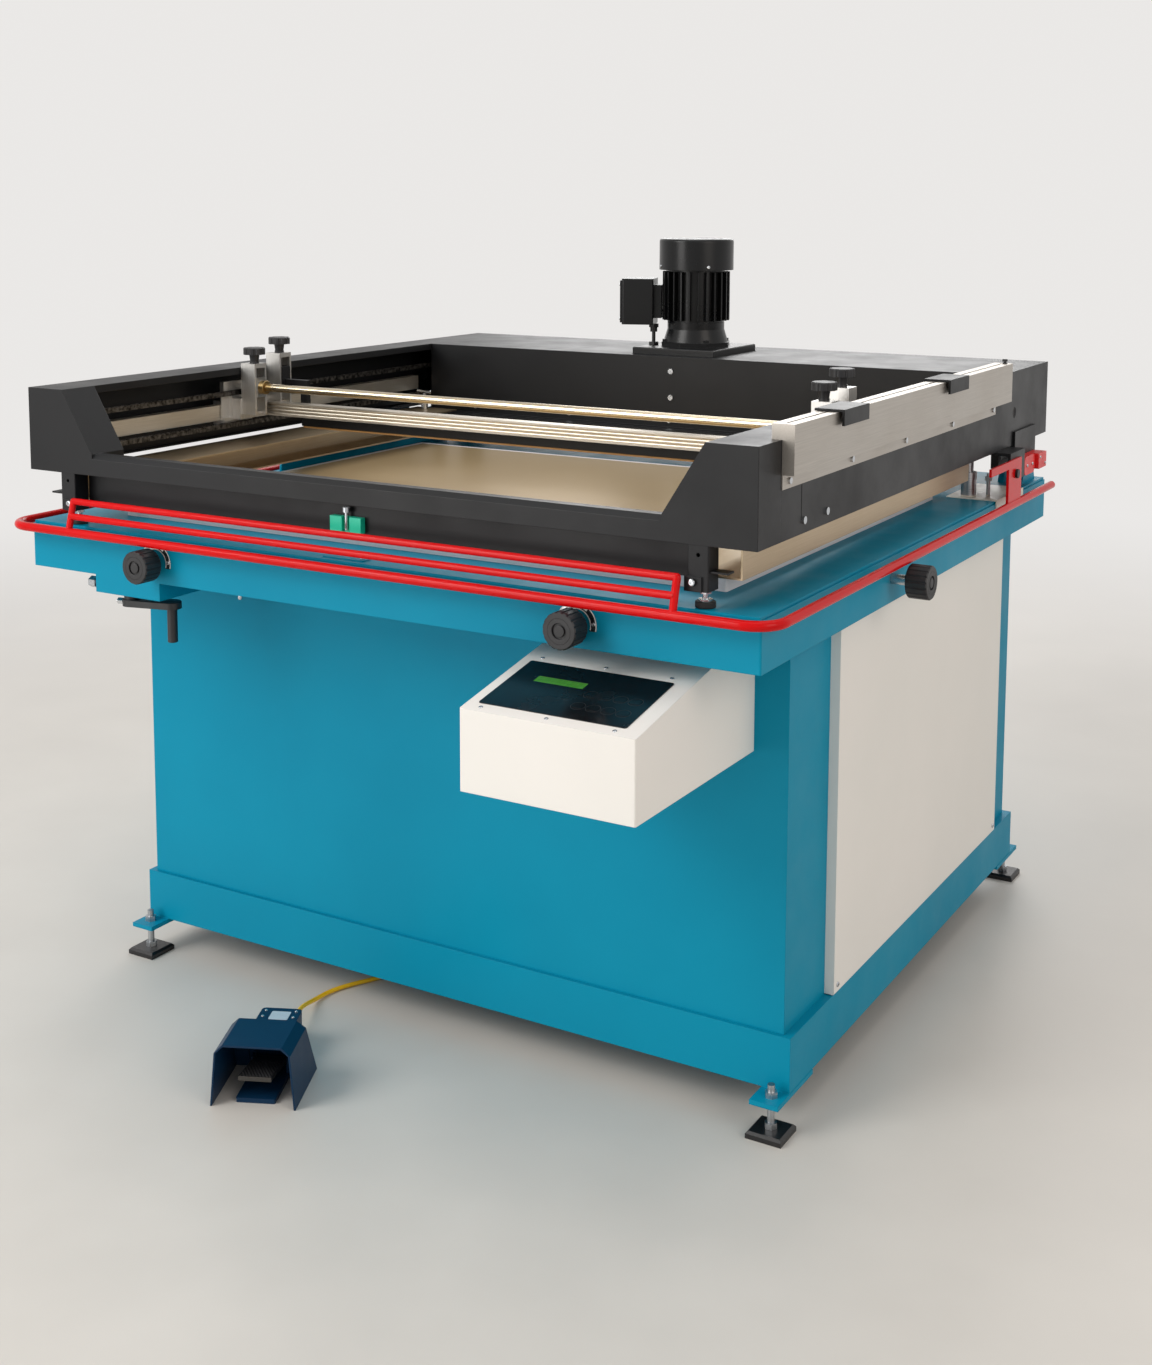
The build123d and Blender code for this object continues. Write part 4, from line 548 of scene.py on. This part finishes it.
def chain_link(outer):
    """One link as a mesh: two rounded side plates, and two rollers in an inner link."""
    link = bmesh.new()
    inside = OUTER_PLATE if outer else INNER_PLATE
    for side in (-1, 1):
        middle = Matrix.Translation((side * (inside + PLATE_THICK / 2), 0, 0))
        rounded_box(link, (PLATE_THICK, PLATE_LENGTH, PLATE_HEIGHT), 0, PLATE_CORNER, 2, middle)
    if not outer:
        for end in (-HALF_PITCH, HALF_PITCH):
            roller = bmesh.ops.create_cone(link, cap_ends=True, segments=8, depth=ROLLER_WIDTH,
                                           radius1=ROLLER_RADIUS, radius2=ROLLER_RADIUS)
            bmesh.ops.transform(link, matrix=pointing((0, end, 0), RIGHT), verts=roller["verts"])
    mesh = bpy.data.meshes.new("link_pattern")
    link.to_mesh(mesh)
    link.free()
    return mesh


def roller_chain(side):
    """One closed chain round its two sprockets."""
    patterns = [chain_link(True), chain_link(False)]
    chain = bmesh.new()
    for number in range(LINKS):
        y, z, slope = chain_place((number + 0.5) * LOOP / LINKS)
        count = len(chain.verts)
        chain.from_mesh(patterns[number % 2])
        spot = Matrix.Translation((side * CHAIN_X, y, z)) @ Matrix.Rotation(slope, 4, "X")
        bmesh.ops.transform(chain, matrix=spot, verts=made_since(chain, count))
    for pattern in patterns:
        bpy.data.meshes.remove(pattern)
    name = "roller_chain_right" if side > 0 else "roller_chain_left"
    return piece(name, chain, chain_material, "head")


for side in (-1, 1):
    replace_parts(roller_chain(side), "drive_chains")


# Register scales behind the two front knobs: a printed white line round each black arc
# plate, a white band to write on, and a screw at each end.
KNOB_X, KNOB_Z, PLATE_FACE = 428.0, 848.0, -230.5
INK = 0.15
# Each printed arc by its two radii, its first angle and how far it goes, in degrees.
SCALE_ARCS = ((33.2, 35.0, -12, 204), (23.9, 25.3, -14, 208), (27.6, 31.8, 52, 76))
PLATE_SCREW_RADIUS, PLATE_SCREW_ANGLES = 29.5, (6, 174)
print_marks, plate_screws = bmesh.new(), bmesh.new()
for side in (-1, 1):
    centre = Vector((side * KNOB_X, PLATE_FACE, KNOB_Z))
    for low, high, first, swept in SCALE_ARCS:
        count = len(print_marks.verts)
        turn_outline(print_marks, [(low, 0), (high, 0), (high, INK), (low, INK)],
                     angle=math.radians(swept), start=math.radians(first))
        set_down(print_marks, count, centre, TOWARDS_FRONT)
    for angle in PLATE_SCREW_ANGLES:
        turned = math.radians(angle)
        spot = centre + PLATE_SCREW_RADIUS * Vector((math.cos(turned), 0, math.sin(turned)))
        button_screw(plate_screws, spot, TOWARDS_FRONT, 3.2, 1.8)
piece("register_scale_print", print_marks, white_ink, "base")
piece("register_scale_screws", plate_screws, zinc, "base")


def knob_face(name, spot, out, body):
    """A flat ring and a hub disc with a groove between them, in a hand knob's recess."""
    face = bmesh.new()
    turn_outline(face, [(12.2, 0), (12.2, 2.4), (13.0, 3.0), (19.6, 3.0), (19.9, 0)], steps=48)
    turn_outline(face, [(0, 0), (9.0, 0), (9.0, 2.2), (8.2, 2.8), (0, 2.8)], closed=False)
    set_down(face, 0, spot, out)
    piece(name, face, black_nylon, body)


RECESS_Y = -280.0
knob_face("register_face_left", (-KNOB_X, RECESS_Y, KNOB_Z), TOWARDS_FRONT, "register_left")
knob_face("register_face_right", (KNOB_X, RECESS_Y, KNOB_Z), TOWARDS_FRONT, "register_right")
knob_face("register_face_side", (799.0, 300.0, 852.0), RIGHT, "register_side")

# Control box: six screws in the sloping face, and printed outlines round the keys.
SLOPE = math.radians(10.8)
SLOPE_FRONT, SLOPE_LOW = -387.0, 742.0
slope_out = Vector((0, -math.sin(SLOPE), math.cos(SLOPE)))


def on_slope(x, along, up=0.0):
    """A point on the control box's sloping face, by its distance up the slope."""
    foot = Vector((x, SLOPE_FRONT + along * math.cos(SLOPE), SLOPE_LOW + along * math.sin(SLOPE)))
    return foot + up * slope_out


box_screws = bmesh.new()
for x in (350.0, 462.5, 575.0):
    for along in (12.5, 190.0):
        button_screw(box_screws, on_slope(x, along), slope_out, 3.4, 1.6)
piece("control_box_screws", box_screws, zinc, "base")

KEY_RADIUS, KEY_SIDES, OUTLINE_GROWTH = 11.0, 32, 1.05
# The outlines lie this far above the box's face, on the key film.
FILM_TOP = 1.35
key_print = bmesh.new()
for x in (487.0, 512.0, 537.0, 562.0):
    for along in (62.0, 100.0):
        count = len(key_print.verts)
        bmesh.ops.create_circle(key_print, cap_ends=False, segments=KEY_SIDES,
                                radius=KEY_RADIUS)
        key_print.edges.ensure_lookup_table()
        grown = bmesh.ops.extrude_edge_only(key_print, edges=key_print.edges[-KEY_SIDES:])
        outer = [v for v in grown["geom"] if isinstance(v, bmesh.types.BMVert)]
        bmesh.ops.scale(key_print, vec=(OUTLINE_GROWTH, OUTLINE_GROWTH, 1.0), verts=outer)
        set_down(key_print, count, on_slope(x, along, FILM_TOP), slope_out)
piece("key_outline_print", key_print, key_line, "base")

# Tray panel: a small screw near each corner.
PANEL_FACE = 693.0
panel_screws = bmesh.new()
for y in (190.0, 1055.0):
    for z in (172.0, 790.0):
        button_screw(panel_screws, (PANEL_FACE, y, z), RIGHT, 4.5, 2.4)
piece("side_panel_screws", panel_screws, zinc, "base")

# Right side box: the joint lines between the end cap, the box and its access cover.
BOX_FACE, LINE_WIDTH, LINE_THICK, LINE_CORNER = 726.5, 2.2, 0.2, 0.9
joint_lines = bmesh.new()
for y, low, high in ((-156.6, 1089.5, 1139.5), (-80.0, 1012.0, 1066.0)):
    rounded_plate(joint_lines, (high - low, LINE_WIDTH, LINE_THICK), LINE_CORNER,
                  (BOX_FACE, y, (low + high) / 2), RIGHT)
piece("box_joint_lines", joint_lines, dark_gap, "head")

# Motor: four screws in the terminal box's lid and four round the fan cowl. The lid's
# face and the cowl's side are measured from the motor's axis.
MOTOR_X, MOTOR_Y = -13.0, 1050.0
LID_FACE, COWL_SIDE, COWL_SCREW_Z = 166.5, 82.3, 1334.0
motor_turn = Matrix.Rotation(math.radians(20.0), 3, "Z")
lid_out = motor_turn @ Vector(LEFT)
motor_screws = bmesh.new()
for across in (-31.0, 31.0):
    for z in (1217.0, 1293.0):
        spot = motor_turn @ Vector((-LID_FACE, across, 0)) + Vector((MOTOR_X, MOTOR_Y, z))
        button_screw(motor_screws, spot, lid_out, 3.4, 2.6)
for angle in (45, 135, 225, 315):
    turned = math.radians(angle)
    out = Vector((math.cos(turned), math.sin(turned), 0))
    spot = Vector((MOTOR_X, MOTOR_Y, COWL_SCREW_Z)) + out * COWL_SIDE
    button_screw(motor_screws, spot, out, 3.6, 2.4)
piece("motor_screws", motor_screws, zinc, "head")

# Foot pedal: its own axes are turned on the floor about the hood's front left corner.
PEDAL = (Matrix.Translation((-162.7, -411.8, 0))
         @ Matrix.Rotation(math.radians(24.4), 4, "Z"))


def on_pedal(mesh):
    """Puts a bmesh in the pedal's own axes in its turned place on the floor."""
    mesh.transform(PEDAL)


# Treadle: a worn tread of small pyramids in offset rows, and a worn steel lip.
TREAD_PITCH, TREAD_ROWS, FIRST_ROW = 5.6, 13, 4.0
TREAD_LEFT, TREAD_RIGHT = 46.5, 97.5
PYRAMID_FOOT, PYRAMID_TIP, PYRAMID_HEIGHT, PYRAMID_MIDDLE = 2.5, 0.9, 1.6, 0.5
FRONT_Y, FRONT_Z, BACK_Y, BACK_Z = 16.0, 46.0, 112.0, 33.0
tread_run = Vector((0, BACK_Y - FRONT_Y, BACK_Z - FRONT_Z)).normalized()
tread_out = Vector((0, -tread_run.z, tread_run.y))
tread = bmesh.new()
for row in range(TREAD_ROWS):
    start = Vector((0, FRONT_Y, FRONT_Z)) + tread_run * (FIRST_ROW + row * TREAD_PITCH)
    x = TREAD_LEFT + (row % 2) * TREAD_PITCH / 2
    while x < TREAD_RIGHT:
        count = len(tread.verts)
        bmesh.ops.create_cone(tread, cap_ends=True, segments=4, radius1=PYRAMID_FOOT,
                              radius2=PYRAMID_TIP, depth=PYRAMID_HEIGHT)
        spot = start + Vector((x, 0, 0)) + tread_out * PYRAMID_MIDDLE
        set_down(tread, count, spot, tread_out)
        x += TREAD_PITCH
on_pedal(tread)
piece("treadle_tread", tread, worn_tread, "treadle")

LIP_SIZE, LIP_ROUND = (56.4, 1.6, 8.0), 0.6
lip = bmesh.new()
bmesh.ops.create_cube(lip, size=1.0)
bmesh.ops.scale(lip, vec=LIP_SIZE, verts=list(lip.verts))
bmesh.ops.bevel(lip, geom=list(lip.edges), offset=LIP_ROUND, segments=2, profile=0.5,
                affect="EDGES", material=-1)
bmesh.ops.translate(lip, vec=(72.0, FRONT_Y - 0.7, FRONT_Z - 3.2), verts=list(lip.verts))
on_pedal(lip)
piece("treadle_lip", lip, lip_steel, "treadle")

# The plain metal plate on the switch housing, and the housing's lid screws.
LID_TOP = 62.0
plain = bmesh.new()
rounded_plate(plain, (34.0, 30.0, 0.5), 2.0, (63.0, 200.0, LID_TOP), UP)
on_pedal(plain)
piece("pedal_plain_plate", plain, blank_plate, "base")
lid_screws = bmesh.new()
for x in (34.0, 88.0):
    for y in (196.0, 218.0):
        button_screw(lid_screws, (x, y, LID_TOP), UP, 3.0, 1.4)
on_pedal(lid_screws)
piece("pedal_lid_screws", lid_screws, zinc, "base")

# Stainless cover: the thumb screw near its rear end, clear of the bracket's travel.
thumb = bmesh.new()
turn_outline(thumb, [(0, 0), (4.5, 0), (4.5, 2.0), (2.6, 2.0), (2.6, 4.0), (5.2, 4.0),
                     (5.2, 8.0), (4.4, 8.8), (0, 8.8)], closed=False, steps=24)
set_down(thumb, 0, (733.0, 908.0, 1165.0), UP)
piece("cover_thumb_screw", thumb, black_nylon, "head")

# Safety switch: two screws in each of its two housings, by place and head radius.
switch_screws = bmesh.new()
for x, y, z, radius in ((751.5, 1022.0, 949.0, 3.4), (751.5, 1058.0, 949.0, 3.4),
                        (757.5, 1094.0, 958.0, 3.0), (757.5, 1130.0, 942.0, 3.0)):
    button_screw(switch_screws, (x, y, z), RIGHT, radius, 2.0)
piece("switch_screws", switch_screws, zinc, "head")

# Dark ends of the drive shaft's bearings, behind the access holes in the side boxes.
shaft_ends = bmesh.new()
for side in (-1, 1):
    count = len(shaft_ends.verts)
    turn_outline(shaft_ends, [(0, 0), (10.8, 0), (10.8, 1.6), (7.0, 1.6), (7.0, 0.9), (0, 0.9)],
                 closed=False, steps=32)
    set_down(shaft_ends, count, (side * 724.3, SHAFT_Y, SHAFT_Z), (side, 0, 0))
piece("access_hole_plugs", shaft_ends, black_rubber, "head")

# Crank block: the adjusting screw and its lock nut on the left end, and the small screw
# end that shows under the table's front edge. The crank has a light nut on its left end.
block_nuts = bmesh.new()
hex_nut(block_nuts, (-576.0, -213.0, 792.0), LEFT, 9.0, 8.0, 0.3)
hex_nut(block_nuts, (-587.0, -213.0, 792.0), LEFT, 10.5, 16.0)
piece("crank_block_screw", block_nuts, zinc, "base")
under_screw = bmesh.new()
button_screw(under_screw, (-241.0, -224.0, 811.0), (0, 0, -1), 4.0, 7.0)
piece("table_edge_screw", under_screw, zinc, "base")
ARM_TURN = math.radians(14)
arm_nut = bmesh.new()
hex_nut(arm_nut, (-528.6, -209.1, 763.5), (-math.cos(ARM_TURN), -math.sin(ARM_TURN), 0), 6.4, 10.0)
piece("crank_arm_nut", arm_nut, zinc, "crank")

# The leg brackets' bolts end in bright heads, and one screw holds the table's cover.
leg_heads = bmesh.new()
for side in (-1, 1):
    button_screw(leg_heads, (side * 626.0, -241.5, 937.0), TOWARDS_FRONT, 5.4, 1.6)
piece("leg_bolt_heads", leg_heads, zinc, "head")
cover_screw = bmesh.new()
button_screw(cover_screw, (7.0, -207.0, 899.0), UP, 3.4, 1.4)
piece("table_cover_screw", cover_screw, zinc, "base")

# Floor and light. The backdrop is what the camera and mirrors see, and the ambient
# light is what lights the press.
AMBIENT, BACKDROP = 0.62, 0.93
BACKDROP_COLOUR = "#F2F0EE"
FLOOR_NEAR, FLOOR_FAR, FLOOR_EDGE = 1.6, 5.5, 40.0


def pale_floor():
    """A pale studio floor that keeps the press's shadow and has no horizon.

    Away from the press it turns into the pale backdrop, for the camera and for
    mirrors. Near the press it stays a lit floor.
    """
    made, tree, shader, where = finish_start("pale_studio_floor", 0.0, PLASTIC_IOR)
    mottle = noise(tree, where, 3.0, 6.0)
    set_colour(tree, shader, spread(tree, mottle, MIDDLE, WHOLE), "#C9C5BF", "#D0CCC6")
    set_roughness(tree, shader, mottle, MIDDLE, (0.42, 0.55))
    reach = add(tree, "VectorMath", {0: where}, operation="LENGTH").outputs["Value"]
    far = add(tree, "MapRange", {"Value": reach, "From Min": FLOOR_NEAR, "From Max": FLOOR_FAR},
              interpolation_type="SMOOTHSTEP").outputs["Result"]
    rays = add(tree, "LightPath").outputs
    looked = add(tree, "Math", {0: rays["Is Camera Ray"], 1: rays["Is Glossy Ray"]},
                 operation="MAXIMUM").outputs[0]
    share = add(tree, "Math", {0: far, 1: looked}, operation="MULTIPLY").outputs[0]
    pale = add(tree, "Emission", {"Color": shade(BACKDROP_COLOUR), "Strength": BACKDROP})
    mixed = add(tree, "MixShader", {0: share, 1: shader.outputs[0], 2: pale.outputs[0]})
    tree.links.new(mixed.outputs[0], tree.nodes["Material Output"].inputs["Surface"])
    return made


ground = bmesh.new()
bmesh.ops.create_circle(ground, cap_ends=True, radius=FLOOR_EDGE, segments=64)
ground_mesh = bpy.data.meshes.new("studio_floor")
ground.to_mesh(ground_mesh)
ground.free()
ground_mesh.materials.append(pale_floor())
new_object("studio_floor", ground_mesh)

world = bpy.data.worlds.new("studio")
bpy.context.scene.world = world
world.use_nodes = True
sky = world.node_tree
back = sky.nodes["Background"]
rays = add(sky, "LightPath").outputs
seen = add(sky, "Math", {0: rays["Is Camera Ray"], 1: rays["Is Transmission Ray"]},
           operation="MAXIMUM").outputs[0]
seen = add(sky, "Math", {0: seen, 1: rays["Is Glossy Ray"]}, operation="MAXIMUM").outputs[0]
sky.links.new(spread(sky, seen, WHOLE, (AMBIENT, BACKDROP)), back.inputs["Strength"])
back.inputs["Color"].default_value = shade(BACKDROP_COLOUR)


def soft_lamp(name, spot, target, size, power, colour="#FFFFFF"):
    """A square soft box that faces a point, in metres and watts."""
    light = bpy.data.lights.new(name, "AREA")
    light.size = size
    light.energy = power
    light.color = shade(colour)[:3]
    lamp = new_object(name, light)
    lamp.location = spot
    lamp.rotation_euler = (Vector(target) - Vector(spot)).to_track_quat("-Z", "Y").to_euler()


# A window at the left front with a low one beside it, and fills from the right, from
# behind and from the ceiling.
soft_lamp("window_light", (-2.6, -4.2, 3.6), (0, 0, 0.8), 2.6, 150.0, "#FFFEFB")
soft_lamp("low_window", (-2.0, -4.4, 0.95), (0, 0, 0.85), 2.0, 44.0, "#FFFCFA")
soft_lamp("right_fill", (4.4, -1.6, 2.6), (0.2, 0, 0.8), 2.4, 52.0, "#FFF4EA")
soft_lamp("rear_fill", (-1.5, 4.4, 3.2), (0, 0, 0.9), 2.6, 70.0)
soft_lamp("ceiling_light", (0.0, 0.2, 5.0), (0, 0, 0.9), 3.6, 60.0)

# The camera was fitted to the photograph's straight edges and named points. Its focal
# length, the picture's height and the row of its optical centre are in pixels.
FOCAL_PX, PHOTO_HEIGHT, OPTICAL_ROW = 1744.39, 1365.0, 400.0
SENSOR = 36.0
YAW, PITCH, ROLL = (math.radians(angle) for angle in (30.36, 6.72, 0.14))
lens = bpy.data.cameras.new("photo_camera")
lens.sensor_fit = "VERTICAL"
lens.sensor_height = SENSOR
lens.lens = FOCAL_PX * SENSOR / PHOTO_HEIGHT
lens.shift_y = (OPTICAL_ROW - PHOTO_HEIGHT / 2) / PHOTO_HEIGHT
lens.clip_end = 200.0
camera = new_object("photo_camera", lens)
camera_turn = (Matrix.Rotation(YAW, 4, "Z") @ Matrix.Rotation(math.pi / 2 - PITCH, 4, "X")
               @ Matrix.Rotation(ROLL, 4, "Z"))
camera.matrix_world = Matrix.Translation(place(1727.8, -2452.5, 1492.0)) @ camera_turn
bpy.context.scene.camera = camera
bpy.context.scene.view_settings.view_transform = "Standard"
